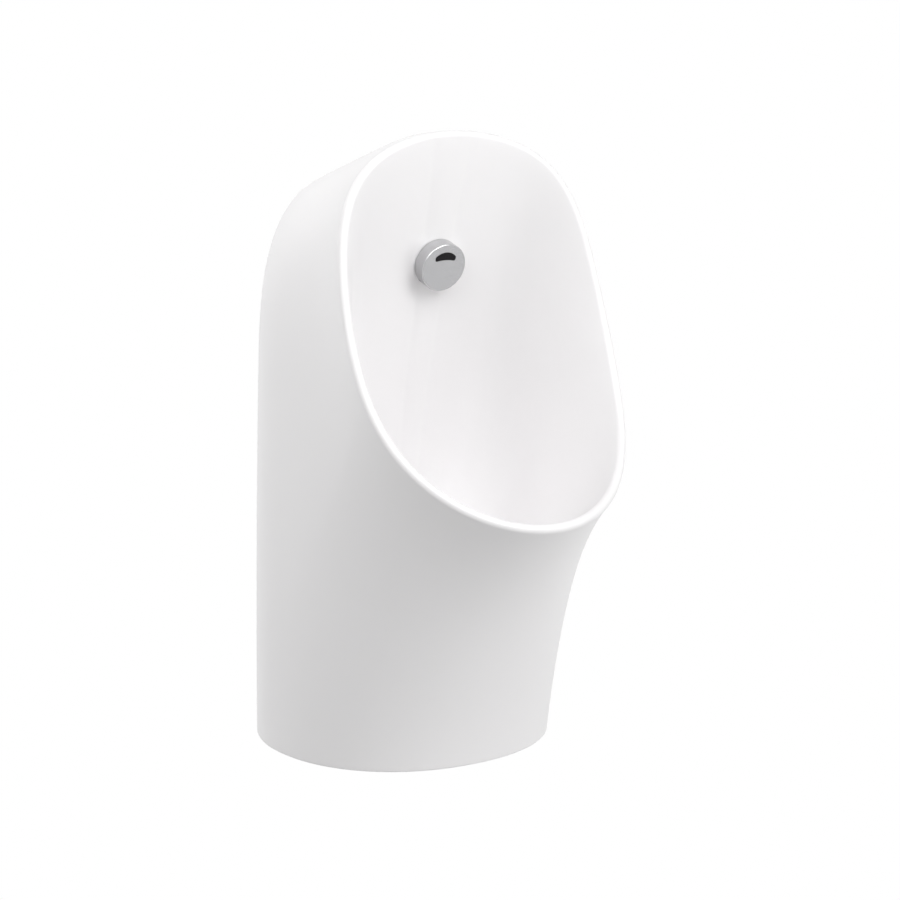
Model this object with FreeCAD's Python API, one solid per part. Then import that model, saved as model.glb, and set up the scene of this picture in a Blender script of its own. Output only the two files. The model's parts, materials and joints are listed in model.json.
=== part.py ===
import FreeCAD, Part
import os
from math import acos, atan2, cos, pi, sin, sqrt, tan

# Wall hung urinal with a sensor flush cap, built on a steel mounting plate.
# Places are written as (x, d, z): x to the side, d forward of the wall and z up
# from the foot of the ceramic. The part's own axes are X = x, Y = -d and
# Z = z - FRAME_Z, which puts the origin at the centre of the four wall screws.

# ---------------------------------------------------------------- ceramic body
HALF_WIDTH = 150.0          # widest half width, at the foot
TAPER = 0.9                 # loss of half width for each 100 mm of height
TAPER_GROWTH = 0.4          # and its growth with the square of the height
MID_DEPTH = 68.0            # distance of the widest line from the wall
REAR_REACH = 143.0          # semi-axis of the plan ellipse behind that line
FOOT_DEPTH = 216.0          # front of the foot
SKIRT_RISE = 26.0           # forward growth of the front in the first 100 mm
SKIRT_FLARE = 9.7           # growth with the square of the height
SKIRT_EASE = 2.4            # loss with its cube
FRONT_POWER = 2.15          # superellipse power of the front half of the plan
ARCH_TOP = 570.3            # top of the arch on the wall
ARCH_SPRING = 378.0         # height where the arch springs from the straight sides
ARCH_POWER = 3.0            # superellipse power of the arch
CROWN_RISE = 27.8           # rise of the crown for each 100 mm forward
CROWN_GROWTH = 3.0          # and its growth with the square of the distance
RIM_TOP_Z = 620.0
RIM_TOP_D = 166.4
LIP_Z = 260.7
LIP_D = 350.0
RIM_HALF_WIDTH = 148.5
RIM_SAG = 50.4              # how far the rim sags behind its chord, seen from the side
RIM_SAG_LOW = 0.51          # share by which the sag moves towards the lip
RIM_SAG_ROUND = 0.24        # share by which its middle is flattened
RIM_EGG = 0.03              # share by which the rim's oval is fuller below
RIM_FULL = 0.15             # share by which its shoulders are filled
RIM_SHOULDER = 0.035        # share by which the upper shoulders are fuller
FLARE_POWER = 5             # how late the skin flares out to the rim
CORNER_TURN = 1.9           # rim angle that the foot's wall corner belongs to
ARCH_SHARE = 0.55           # share of that angle spent on the arch
RIM_BEAD = 5.0              # radius of the rounded rim
WALL = 9.0                  # thickness of the ceramic
FLANGE = 10.0               # width of the ceramic where it meets the wall

# bowl: angle at which it leaves the rim (from square to the rim's plane), and the
# handle lengths of its curve, as shares of the chord, at top, side and lip
BOWL_ANGLE = (0.93, 0.60, -0.10)
RIM_HANDLE = (0.245, 0.30, 0.28)
DRAIN_HANDLE = (0.268, 0.36, 0.22)
SUMP_SLOPE = 0.16
DRAIN_D = 155.0
SUMP_Z = 174.0
BOWL_MOUTH = 20.0
# where the hollow between skin and bowl starts, as shares of both, top, side, lip
HOLLOW_SKIN = (0.86, 0.80, 0.74)
HOLLOW_BOWL = (0.14, 0.22, 0.38)

# ------------------------------------------------------------------ clearances
RUN = 0.05                  # radial clearance of a running fit
THREAD = 0.10               # radial clearance of screwed pieces
SEAT = 0.30                 # gap beside a face on another moving piece
LOOSE = 1.0                 # clearance hole around a pipe or shank

# ---------------------------------------------------------------- flush outlet
CAP_Z = 491.0               # height of the cap's axis on the bowl
CAP_R = 24.5
CAP_DEPTH = 15.3            # cap face above the bowl
CAP_WALL = 2.2
CAP_FACE = 2.0
CAP_LIFT = 0.6              # gap between the cap's edge and the ceramic
CAP_EDGE = 1.4              # rounding of the cap's front edge
CAP_SLOT_FROM = 5.4         # water slot in the cap's side, along the axis
CAP_SLOT = 3.0
CAP_SLOT_TURN = 36.0        # half the slot's arc, about the lowest point
WINDOW_TOP = 16.4           # arched top of the window, from the cap's axis
WINDOW_HALF = 11.6
WINDOW_SILL = 8.2           # middle of its hollowed sill
WINDOW_SILL_R = 45.0
WINDOW_CORNER = 2.0
LENS_RECESS = 0.4
LENS_FLANGE = 1.3
LENS_BORDER = 1.0
GASKET = 1.5
CORE_FLANGE = 3.5
SHANK_R = 10.4
SHANK_BORE = 7.5
SHANK_END = 40.0            # reach of the shank behind the bowl
BOSS_R = 30.0
BOSS_DEPTH = 14.0           # ceramic thickness at the cap
WASHER = 2.5
WASHER_R = 20.0
SPOUT_NUT = 9.0
SPOUT_FLATS = 32.0
GUIDE_R = 3.0               # guide tube of the sensor lead
LEAD_R = 2.0
LEAD_PLAY = 0.1
PUCK_R = 19.5
PUCK_FROM = 8.6             # back of the sensor housing
PUCK_WALL = 1.2
PUCK_LEG_R = 1.6
PUCK_LEG_RING = 15.0
BOARD = 1.2
DIODE_R = 2.4
DIODE_RING = 12.8
DIODE = 0.9
DIODE_TURN = 22.0
GRUB_R = 1.5
GRUB_TURN = 47.0
TEE_R = 16.0
TEE_FROM = 31.0             # stations behind the bowl, along the cap's axis
TEE_BACK = 56.0
TEE_END = 62.0
TEE_BORE = 9.0
TEE_LEG_AT = 50.0
TEE_LEG = 36.0
TEE_COLLAR_R = 13.0
TEE_COLLAR = 20.0
PIPE_THREAD_R = 10.4        # half inch pipe thread
WATER_BORE = 6.0
GLAND_R = 8.0
GLAND_NECK_R = 6.0
GLAND_NECK = 3.9
GLAND_END = 72.0
FLAT_SEAL = 1.5
FLAT_SEAL_R = 10.0
FLAT_SEAL_BORE = 5.2

# ---------------------------------------------------- mounting plate and hooks
PLATE_HALF = 96.0
PLATE_LOW = 192.0
PLATE_HIGH = 500.0
PLATE = 3.0
PLATE_CORNER = 12.0
FIX_X = 84.0                # wall screw holes
FIX_LOW = 222.0
FIX_HIGH = 466.0
FIX_R = 4.5
FRAME_Z = (FIX_LOW + FIX_HIGH) / 2
PLATE_WINDOW_HALF = 19.0
PLATE_WINDOW_LOW = 240.0
PLATE_WINDOW_HIGH = 474.0
HOOK_X = 58.0
HOOK_WIDTH = 30.0
HOOK = 3.0
HOOK_FOOT = 440.0
HOOK_TOP = 518.5            # upper face of the hook's tongue
HOOK_LIP = 13.0
RIVET_R = 3.0
RIVET_HEAD_R = 5.5
RIVET_HEAD = 2.4
RIVET_Z = (455.0, 485.0)
RIVET_RECESS = 0.4
PAD = 1.5
WEB_FROM = 12.0             # ceramic web that hangs on the hooks
WEB = 12.0
WEB_FOOT = 481.0
WEB_SLOT_WIDTH = 40.0
WEB_SLOT_HEIGHT = 31.0
HOOK_PLAY = 2.0             # gap between the web and the hook's lip

# ------------------------------------------------------------------ water feed
FEED_X = 34.0
FEED_Z = 216.0
FEED_D = 40.0               # depth of the valve column
NIPPLE = 12.0               # thread that reaches into the wall
NIPPLE_COLLAR_R = 11.0
STOP_R = 15.0
STOP_BACK = 8.0
STOP_FRONT = 53.0
BALL_R = 9.6
BALL_PORT = 5.0
BALL_SLOT = 6.0             # depth of the stem's slot from the ball's centre
TANG_HALF = 2.0
TANG_REACH = 4.0
OUTLET_BOSS = 31.0
BONNET_FACE = 60.0
BONNET_FLATS = 28.0
STEM_R = 4.0
STEM_END = 68.0
STEM_SQUARE = 3.0
HANDLE_R = 7.0
HANDLE_GAP = 0.4
HANDLE_THICK = 5.0
HANDLE_LENGTH = 38.0
HANDLE_HALF = 4.5
STOP_PIN_R = 1.5
STOP_PIN = 4.0
STOP_PIN_AT = 9.6
CAP_SCREW_R = 1.5
CAP_SCREW_HEAD_R = 4.8
CAP_SCREW_HEAD = 2.4
CAP_SCREW_DEEP = 8.0
TAIL_COLLAR_R = 10.2
TAIL_COLLAR = 3.0
TAIL_R = 8.0
TAIL = 14.5
UNION_GRIP = 8.5
UNION_WALL = 2.5
UNION_FLATS = 27.0
FILTER_R = 5.3
FILTER_WALL = 0.6
FILTER_FLANGE_R = 6.0
FILTER_HOLE = 0.6
BLOCK = 36.0                # side of the solenoid valve's block
BLOCK_HIGH = 32.0
ARM_HALF = 13.0
ARM_HIGH = 26.0
ARM_BOSS = 14.0
PASSAGE_R = 4.5
RISER_R = 2.4
RISER_AT = 9.5
MOAT_R = 12.0
MOAT_DEEP = 7.0
VALVE_SEAT_R = 6.5
DIAPHRAGM_R = 15.0
DIAPHRAGM = 2.0
PILOT_R = 0.8
BONNET = 4.0
BONNET_POCKET = 2.0
CORE_TUBE_R = 6.0
CORE_TUBE_BORE = 4.2
CORE_TUBE_FLANGE_R = 8.0
CORE_TUBE_FLANGE = 1.0
CORE_TUBE_HIGH = 36.0
SPRING_POCKET_R = 3.4
SPRING_POCKET = 8.0
PLUNGER_R = 4.15
PLUNGER = 20.0
PLUNGER_TIP_R = 2.2
PLUNGER_TIP = 1.5
PLUNGER_GAP = 0.05
PLUNGER_TRAVEL = 2.5
SPRING_R = 2.9
SPRING_WIRE = 0.25
SPRING_TURNS = 6
COIL_R = 14.0
COIL = 24.0
PLUG_HALF = 7.0
PLUG_BACK = 12.0
PLUG_FROM = 4.0
PLUG_HIGH = 14.0
COIL_NUT_R = 8.5
COIL_NUT = 4.0
BLOCK_SCREW_R = 2.0
BLOCK_SCREW_HEAD_R = 3.6
BLOCK_SCREW_HEAD = 3.0
BLOCK_SCREW_AT = 13.5
BLOCK_SCREW_DEEP = 12.0

# ----------------------------------------------------------------------- hose
HOSE_R = 5.0
HOSE_BORE = 3.5
HOSE_STRAIGHT = 45.0
SLEEVE_R = 6.5
SLEEVE = 14.0
COLLAR_R = 10.2
COLLAR = 2.5
HOSE_NUT_GRIP = 9.0
HOSE_NUT_WALL = 2.4
HOSE_NUT_FLATS = 25.0

# ----------------------------------------------------------------- control box
BOX_X = -62.0               # middle of the control box
BOX_LOW = 250.0
BOX_HIGH = 372.0
BOX_DEPTH = 20.0
BOX_WALL = 2.0
SHELF_Z = 308.0
CELL_R = 7.1
CELL_PITCH = 14.6
CELL = 49.0
CELL_NUB_R = 2.7
CELL_NUB = 1.2
CELL_D = 13.0
CELL_COUNT = 4
CELL_PLAY = 1.0             # between the outer cells and the box's sides
BOX_HALF = CELL_PITCH * (CELL_COUNT - 1) / 2 + CELL_R + CELL_PLAY + BOX_WALL
BOX_LEFT = BOX_X - BOX_HALF
BOX_RIGHT = BOX_X + BOX_HALF
CONTACT = 0.8
CONTACT_SPRING_R = 2.6
CONTACT_WIRE = 0.4
CONTACT_TURNS = 4
DOOR = 2.5
DOOR_GAP = 0.4
DOOR_BACK = 5.5
DOOR_END_GAP = 2.0
HINGE_D = 7.5
HINGE_Z = 246.5
HINGE_R = 2.4
PIN_R = 1.0
KNUCKLE = 8.0
KNUCKLE_GAP = 0.5
NOTCH_D = 10.5
LIP_D_FROM = 17.7
DOOR_LIP = 1.5
DOOR_LIP_HIGH = 3.4
EAR = 12.0
EAR_THICK = 3.0
EAR_AT = 20.0               # ears' distance from the middle of the box
EAR_X = (BOX_X - EAR_AT, BOX_X + EAR_AT)
BOX_SCREW_R = 2.0
BOX_SCREW_HEAD_R = 3.8
BOX_SCREW_HEAD = 2.4
BOX_SCREW_DEEP = 5.5
BOARD_D = 9.0
BOARD_THICK = 1.6
BOARD_MARGIN = 4.0
TERMINAL = 10.0
LEAD_D = 14.0
LEAD_JOIN = 26.0            # straight run of the lead each side of the gland
LEAD_SIDE = (-26.0, 30.0, 462.0)
LEAD_DROP_Z = 424.0
VALVE_LEAD_Z = 330.0
VALVE_LEAD_D = 16.0
VALVE_LEAD_X = -14.0        # side of the valve lead's bend
VALVE_LEAD_RUN = 22.0
STRIP_HALF = 4.0            # half width of the cells' contact strips
STRIP_BITE = 0.2
PLUG_PIN = 2.0
SOCKET = 10.0               # side of the leads' sockets on the board
CHIP = 12.0
CHIP_HIGH = 1.6
CHIP_FOOT = 10.0
STORE_R = 4.0               # radius of the store capacitor
STORE_HIGH = 7.0
STORE_AT = 6.0
FOOT_R = 2.5
FOOT_AT = 5.0
SINK = 0.5

# ----------------------------------------------------------------------- waste
RECESS_R = 33.5
RECESS_Z = 170.0
DRAIN_R = 23.0
DRAIN_BOSS_R = 38.0
DRAIN_BOSS_Z = 157.0
DRAIN_BOSS_TOP = 172.0
WASTE_R = 21.0
WASTE_BORE = 18.5
WASTE_FLANGE_R = 32.5
WASTE_FLANGE = 2.0
WASTE_SEAL = 1.2
WASTE_WASHER = 2.5
WASTE_WASHER_R = 36.0
WASTE_NUT = 9.5
WASTE_NUT_FLATS = 62.0
STRAINER_R = 31.0
STRAINER = 2.5
STRAINER_SKIRT_R = 18.1
STRAINER_SKIRT = 8.0
STRAINER_WALL = 1.5
STRAINER_HOLE = 2.6
STRAINER_PITCH = 6.5        # between its holes
NECK_R = 24.5
NECK_TOP = 135.0
LEDGE_Z = 124.0
DRUM_R = 34.0
DRUM_TOP = 122.0
DRUM_FOOT = 62.0
TRAP_WALL = 3.0
DIP_R = 17.0
DIP_BORE = 14.6
DIP_END = 42.0
DIP_FLANGE_R = 20.6
DIP_FLANGE = 2.0
SLIP_GRIP = 10.0
SLIP_SEAL = 4.0
SLIP_WALL = 4.0
SLIP_NUT_WALL = 5.0
BRANCH_Z = 98.0
BRANCH_REACH = 58.0
BRANCH_R = 20.0
PIPE_R = 16.0
PIPE_BORE = 14.0
PIPE_INSERT = 20.0
PIPE_SPIGOT = 30.0          # pipe that reaches into the wall
PIPE_BEAD_R = 18.0
PIPE_BEAD = 3.0
CUP_R = 37.5
CUP_FOOT = 24.0
CUP_TOP = 71.0
CUP_FLOOR = 3.0
CUP_BORE = 31.5
CUP_SEAL = 1.6
CUP_EDGE = 6.0


# ================================================================ small helpers
def place(x, d, z):
    """Point in the part's own axes from side, depth and height."""
    return FreeCAD.Vector(x, -d, z - FRAME_Z)


FORWARD = FreeCAD.Vector(0, -1, 0)
UP = FreeCAD.Vector(0, 0, 1)
RIGHT = FreeCAD.Vector(1, 0, 0)


def oriented(shape, origin, axis):
    """A shape built along Z about the origin, moved to an axis."""
    turn = FreeCAD.Rotation(FreeCAD.Vector(0, 0, 1), axis)
    shape.Placement = FreeCAD.Placement(origin, turn)
    return shape


def rod(origin, axis, radius, start, end):
    """Cylinder between two stations of an axis."""
    direction = FreeCAD.Vector(axis).normalize()
    return Part.makeCylinder(radius, end - start, origin + direction * start, direction)


def ring(origin, axis, outer, inner, start, end):
    return rod(origin, axis, outer, start, end).cut(rod(origin, axis, inner, start, end))


def turned(origin, axis, profile):
    """Solid of revolution from a closed list of (station, radius)."""
    points = [FreeCAD.Vector(radius, 0, station) for station, radius in profile]
    face = Part.Face(Part.makePolygon(points + points[:1]))
    solid = face.revolve(FreeCAD.Vector(0, 0, 0), FreeCAD.Vector(0, 0, 1), 360)
    return oriented(solid, origin, FreeCAD.Vector(axis).normalize())


def hexagon(origin, axis, flats, hole, start, end):
    """Hexagonal nut with a round hole."""
    corner = flats / sqrt(3)
    points = [FreeCAD.Vector(corner * cos(k * pi / 3), corner * sin(k * pi / 3), start) for k in range(7)]
    prism = Part.Face(Part.makePolygon(points)).extrude(FreeCAD.Vector(0, 0, end - start))
    nut = oriented(prism, origin, FreeCAD.Vector(axis).normalize())
    return nut.cut(rod(origin, axis, hole, start, end))


def block(x0, x1, d0, d1, z0, z1):
    return Part.makeBox(x1 - x0, d1 - d0, z1 - z0, place(x0, d1, z0))


def fused(first, *others):
    return first.fuse(list(others)).removeSplitter()


def bent_path(points, lead_in=None):
    """Straight runs joined by tangent arcs; prints the arcs' radii."""
    edges = [Part.LineSegment(lead_in, points[0]).toShape()] if lead_in else []
    radii = []
    start = points[0]
    for before, corner, after in zip(points, points[1:], points[2:]):
        back = before - corner
        ahead = after - corner
        turn = pi - back.getAngle(ahead)
        reach = 0.45 * min(back.Length, ahead.Length)
        radii.append(reach / tan(turn / 2))
        enter = corner + back.normalize() * reach
        leave = corner + ahead.normalize() * reach
        bisector = (back + ahead).normalize()
        middle = corner + bisector * (radii[-1] / cos(turn / 2) - radii[-1])
        edges.append(Part.LineSegment(start, enter).toShape())
        edges.append(Part.Arc(enter, middle, leave).toShape())
        start = leave
    edges.append(Part.LineSegment(start, points[-1]).toShape())
    print("bend radii", [round(radius, 1) for radius in radii])
    return Part.Wire(edges)


def swept(path, radius, first, second):
    """Round tube along a path that starts from first towards second."""
    circle = Part.Wire([Part.makeCircle(radius, first, second - first)])
    return path.makePipeShell([circle], True, False)


# ============================================================== ceramic surfaces
def eased(angle, top, side, lip):
    """Value at a rim angle: top at 0, side at a quarter turn, lip at a half turn."""
    end = top if cos(angle) > 0 else lip
    return end * cos(angle) ** 2 + side * sin(angle) ** 2


def half_width(z):
    rise = z / 100
    return HALF_WIDTH - TAPER * rise - TAPER_GROWTH * rise ** 2


def front_depth(z):
    rise = min(max(z, 0), RIM_TOP_Z) / 100
    return FOOT_DEPTH + SKIRT_RISE * rise + SKIRT_FLARE * rise ** 2 - SKIRT_EASE * rise ** 3


def crown_height(d):
    reach = d / 100
    return ARCH_TOP + CROWN_RISE * reach + CROWN_GROWTH * reach ** 2


def outside(x, d, z):
    """Whether a point is outside the hull: a plan ellipse under an arched crown."""
    rear = d < MID_DEPTH
    reach = REAR_REACH if rear else front_depth(z) - MID_DEPTH
    power = 2.0 if rear else FRONT_POWER
    plan = 1 - (abs(d - MID_DEPTH) / reach) ** power
    climb = max(z - ARCH_SPRING, 0) / (crown_height(d) - ARCH_SPRING)
    arch = 1 - min(climb, 1) ** ARCH_POWER
    if plan <= 0 or arch <= 0:
        return True
    return (abs(x) / half_width(z)) ** power >= plan * arch ** (power / ARCH_POWER)


def on_hull(point):
    """Point of the hull on the ray from the body's inner axis through a point."""
    foot = FreeCAD.Vector(0, MID_DEPTH, min(point.z, ARCH_SPRING))
    ray = point - foot
    low, high = 0.2, 3.0
    for _ in range(34):
        middle = (low + high) / 2
        trial = foot + ray * middle
        if outside(trial.x, trial.y, trial.z):
            high = middle
        else:
            low = middle
    return foot + ray * low


def rim_point(angle):
    """Rim: an oval with full shoulders, seen from the front, that sags from the side."""
    fall = (1 - cos(angle)) / 2
    bow = 4 * fall * (1 - fall)
    sag = RIM_SAG * bow * (1 + RIM_SAG_LOW * (2 * fall - 1) - RIM_SAG_ROUND * (bow - 0.5))
    fullness = cos(2 * angle) + 1
    oval = 1 - RIM_EGG * cos(angle) + RIM_FULL * fullness + RIM_SHOULDER * cos(angle) * fullness
    x = -RIM_HALF_WIDTH * sin(angle) * oval
    d = RIM_TOP_D + (LIP_D - RIM_TOP_D) * fall - sag
    z = RIM_TOP_Z - (RIM_TOP_Z - LIP_Z) * fall
    return FreeCAD.Vector(x, d, z)


def foot_point(angle, inset=0.0):
    """Edge on the wall, an arch with straight sides, and on the foot, a half ellipse."""
    if angle < 0 or angle > pi:
        point = foot_point(-angle if angle < 0 else 2 * pi - angle, inset)
        return FreeCAD.Vector(-point.x, point.y, point.z)
    side = sqrt(1 - (MID_DEPTH / REAR_REACH) ** 2)
    if angle <= CORNER_TURN:
        share = angle / CORNER_TURN
        if share > ARCH_SHARE:
            z = ARCH_SPRING * (1 - (share - ARCH_SHARE) / (1 - ARCH_SHARE))
            return FreeCAD.Vector(inset - half_width(z) * side, 0, z)
        turn = share / ARCH_SHARE * pi / 2
        bow = max(cos(turn), 0) ** (2 / ARCH_POWER)
        z = ARCH_SPRING + (ARCH_TOP - inset - ARCH_SPRING) * bow
        reach = half_width(z) * side - inset
        return FreeCAD.Vector(-reach * sin(turn) ** (2 / ARCH_POWER), 0, z)
    last = acos(-MID_DEPTH / REAR_REACH)
    turn = last * (pi - angle) / (pi - CORNER_TURN)
    rear = turn > pi / 2
    reach = REAR_REACH if rear else FOOT_DEPTH - MID_DEPTH
    power = 2.0 if rear else FRONT_POWER
    swing = abs(cos(turn)) ** (2 / power) * (-1 if rear else 1)
    x = -HALF_WIDTH * max(sin(turn), 0) ** (2 / power)
    point = FreeCAD.Vector(x, MID_DEPTH + reach * swing, 0)
    slope = FreeCAD.Vector(-x / HALF_WIDTH ** 2, -(point.y - MID_DEPTH) / reach ** 2, 0).normalize()
    corner = FreeCAD.Vector(inset - HALF_WIDTH * side, 0, 0)
    inner = point + slope * inset
    fade = min((angle - CORNER_TURN) / (pi - CORNER_TURN) * 6, 1)
    inner = corner + (inner - corner) * fade if fade < 1 else inner
    return inner if inset else point


def skin_point(angle, share):
    """Outer skin: a straight fan from foot to rim, laid on the hull, then flared."""
    rim = rim_point(angle)
    foot = foot_point(angle)
    if share == 0:
        return foot
    flare = rim - on_hull(rim)
    return on_hull(foot + (rim - foot) * share) + flare * share ** FLARE_POWER


def rim_frame(angle):
    """Rim point, outward and raised directions, and the bead's centre and start."""
    step = 1e-4
    along = (rim_point(angle + step) - rim_point(angle - step)).normalize()
    chord = (rim_point(pi) - rim_point(0)).normalize()
    square = FreeCAD.Vector(0, -chord.z, chord.y)
    outward = square.cross(along).normalize()
    raised = along.cross(outward).normalize()
    if raised.dot(square) < 0:
        raised = raised * -1
    middle = (rim_point(pi) + rim_point(0)) * 0.5
    rim = rim_point(angle)
    if outward.dot(rim - middle) < 0:
        outward = outward * -1
    heading = (skin_point(angle, 1) - skin_point(angle, 0.999)).normalize()
    lean = atan2(heading.dot(outward), heading.dot(raised))
    centre = rim - (outward * cos(lean) - raised * sin(lean)) * RIM_BEAD
    return outward, raised, centre, lean


def bead_point(frame, turn):
    outward, raised, centre, _ = frame
    return centre + (outward * cos(turn) + raised * sin(turn)) * RIM_BEAD


def bowl_point(angle, share, frame=None):
    """Bowl: a cubic curve from the rounded rim to the mouth of the drain."""
    outward, raised, centre, lean = frame or rim_frame(angle)
    leave = eased(angle, *BOWL_ANGLE)
    start = centre + (outward * cos(pi - leave) + raised * sin(pi - leave)) * RIM_BEAD
    heading = (outward * sin(leave) + raised * cos(leave)) * -1
    radial = FreeCAD.Vector(-sin(angle), -cos(angle), 0)
    mouth = FreeCAD.Vector(0, DRAIN_D, SUMP_Z) + radial * BOWL_MOUTH
    chord = (mouth - start).Length
    first = start + heading * (eased(angle, *RIM_HANDLE) * chord)
    slope = radial * cos(SUMP_SLOPE) + FreeCAD.Vector(0, 0, sin(SUMP_SLOPE))
    second = mouth + slope * (eased(angle, *DRAIN_HANDLE) * chord)
    rest = 1 - share
    near = start * rest ** 3 + first * (3 * rest ** 2 * share)
    return near + second * (3 * rest * share ** 2) + mouth * share ** 3


def inward(surface, angle, share, depth, side):
    """Point at a depth behind a surface; side is +1 or -1 for its facing."""
    step = 1e-3
    across = surface(angle + step, share) - surface(angle - step, share)
    along = surface(angle, min(share + step, 1)) - surface(angle, share - step)
    normal = across.cross(along).normalize()
    return surface(angle, share) + normal * (depth * side)


def meridian(angle):
    """Row of points: skin, bead, bowl, drain, underside, hollow, inside of the skin."""
    frame = rim_frame(angle)
    lean = frame[3]
    leave = eased(angle, *BOWL_ANGLE)
    row = [skin_point(angle, k / 14) for k in range(14)]
    row.append(skin_point(angle, 0.975))
    row += [bead_point(frame, -lean + (pi - leave + lean) * k / 5) for k in range(6)]
    row += [bowl_point(angle, (k / 14) ** 1.15, frame) for k in range(1, 15)]
    radial = FreeCAD.Vector(-sin(angle), -cos(angle), 0)
    mouth = FreeCAD.Vector(0, DRAIN_D, 0) + radial * BOWL_MOUTH
    row += [mouth + FreeCAD.Vector(0, 0, SUMP_Z - WALL * k / 2) for k in (1, 2)]
    first = eased(angle, *HOLLOW_BOWL)
    for k in range(10):
        share = 0.93 + (first - 0.93) * k / 9
        row.append(inward(bowl_point, angle, share, WALL, 1))
    last = eased(angle, *HOLLOW_SKIN)
    for k in range(10):
        share = last + (0.07 - last) * k / 9
        row.append(inward(skin_point, angle, share, WALL, 1))
    row.append(foot_point(angle, FLANGE))
    return row


def spread(start, end, count):
    return [start + (end - start) * k / count for k in range(count + 1)]


def mirrored(rows):
    """Rows over half the oval, and their mirror images before or after them."""
    return [[FreeCAD.Vector(-p.x, p.y, p.z) for p in row] for row in reversed(rows[1:])] + rows


def knots(count):
    inner = count - 4
    return [float(k) for k in range(inner + 2)], [4] + [1] * inner + [4]


def patch(rows):
    """Cubic B-spline surface over rows of control points."""
    poles = [[place(p.x, p.y, p.z) for p in row] for row in rows]
    across, across_mults = knots(len(poles))
    along, along_mults = knots(len(poles[0]))
    surface = Part.BSplineSurface()
    surface.buildFromPolesMultsKnots(poles, across_mults, along_mults, across, along, False, False, 3, 3)
    return surface


def edge_curve(points):
    poles = [place(p.x, p.y, p.z) for p in points]
    places, mults = knots(len(poles))
    curve = Part.BSplineCurve()
    curve.buildFromPolesMultsKnots(poles, mults, places, False, 3)
    return curve.toShape()


def flat_ring(outer, inner):
    """Flat face between an outer and an inner open edge, closed at both ends."""
    pole = [place(p.x, p.y, p.z) for p in (outer[0], inner[0], outer[-1], inner[-1])]
    ends = [Part.LineSegment(pole[0], pole[1]).toShape(), Part.LineSegment(pole[2], pole[3]).toShape()]
    wire = Part.Wire(Part.__sortEdges__([edge_curve(outer), edge_curve(inner)] + ends))
    return Part.Face(wire)


def ceramic_shell():
    upper = [meridian(angle) for angle in spread(0, CORNER_TURN, 17)]
    lower = [meridian(angle) for angle in spread(CORNER_TURN, pi, 13)]
    upper = mirrored(upper)
    lower = list(reversed(mirrored(list(reversed(lower)))))
    faces = [patch(upper).toShape(), patch(lower).toShape()]
    faces.append(flat_ring([row[0] for row in upper], [row[-1] for row in upper]))
    faces.append(flat_ring([row[0] for row in lower], [row[-1] for row in lower]))
    shell = Part.Compound(faces)
    shell.sewShape(0.01)
    solid = Part.Solid(shell.Shells[0])
    if solid.Volume < 0:
        solid.reverse()
    return solid


# ================================================================ flush outlet
def flush_axis():
    """Seat of the cap on the bowl's back, and the direction square to it."""
    low, high = 0.0, 1.0
    for _ in range(40):
        share = (low + high) / 2
        if bowl_point(0, share).z > CAP_Z:
            low = share
        else:
            high = share
    point = bowl_point(0, share)
    fall = (bowl_point(0, share + 1e-3) - bowl_point(0, share - 1e-3)).normalize()
    return place(0, point.y, point.z), FORWARD * -fall.z + UP * fall.y


SEAT_POINT, CAP_AXIS = flush_axis()
CAP_UP = CAP_AXIS.cross(RIGHT)


def on_cap(radius, turn, station):
    """Point about the cap's axis; turn in degrees from the highest point."""
    swing = turn * pi / 180
    side = RIGHT * (radius * sin(swing))
    return SEAT_POINT + CAP_AXIS * station + CAP_UP * (radius * cos(swing)) + side


def cap_rod(radius, start, end):
    return rod(SEAT_POINT, CAP_AXIS, radius, start, end)


def cap_ring(outer, inner, start, end):
    return ring(SEAT_POINT, CAP_AXIS, outer, inner, start, end)


def window_prism(play, start, end):
    """Window with an arched top and a hollowed sill, widened all round by the play, along the axis."""
    top, half, sill = WINDOW_TOP + play, WINDOW_HALF + play, WINDOW_SILL_R - play
    below = WINDOW_SILL - WINDOW_SILL_R
    shoulder = sqrt(top ** 2 - half ** 2)
    heel = below + sqrt(sill ** 2 - half ** 2)
    foot = SEAT_POINT + CAP_AXIS * start
    spots = [foot + RIGHT * x + CAP_UP * y for x, y in (
        (-half, heel), (-half, shoulder), (0, top), (half, shoulder), (half, heel), (0, below + sill))]
    edges = [Part.LineSegment(spots[0], spots[1]), Part.Arc(*spots[1:4]),
             Part.LineSegment(spots[3], spots[4]), Part.Arc(spots[4], spots[5], spots[0])]
    wire = Part.Wire([edge.toShape() for edge in edges])
    prism = Part.Face(wire).extrude(CAP_AXIS * (end - start))
    corners = [edge for edge in prism.Edges if abs(edge.tangentAt(edge.FirstParameter).dot(CAP_AXIS)) > 0.99]
    return prism.makeFillet(WINDOW_CORNER + play, corners)


def front_gasket():
    return cap_ring(CAP_R - CAP_WALL - 2, SHANK_R + THREAD, 0, GASKET)


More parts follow.
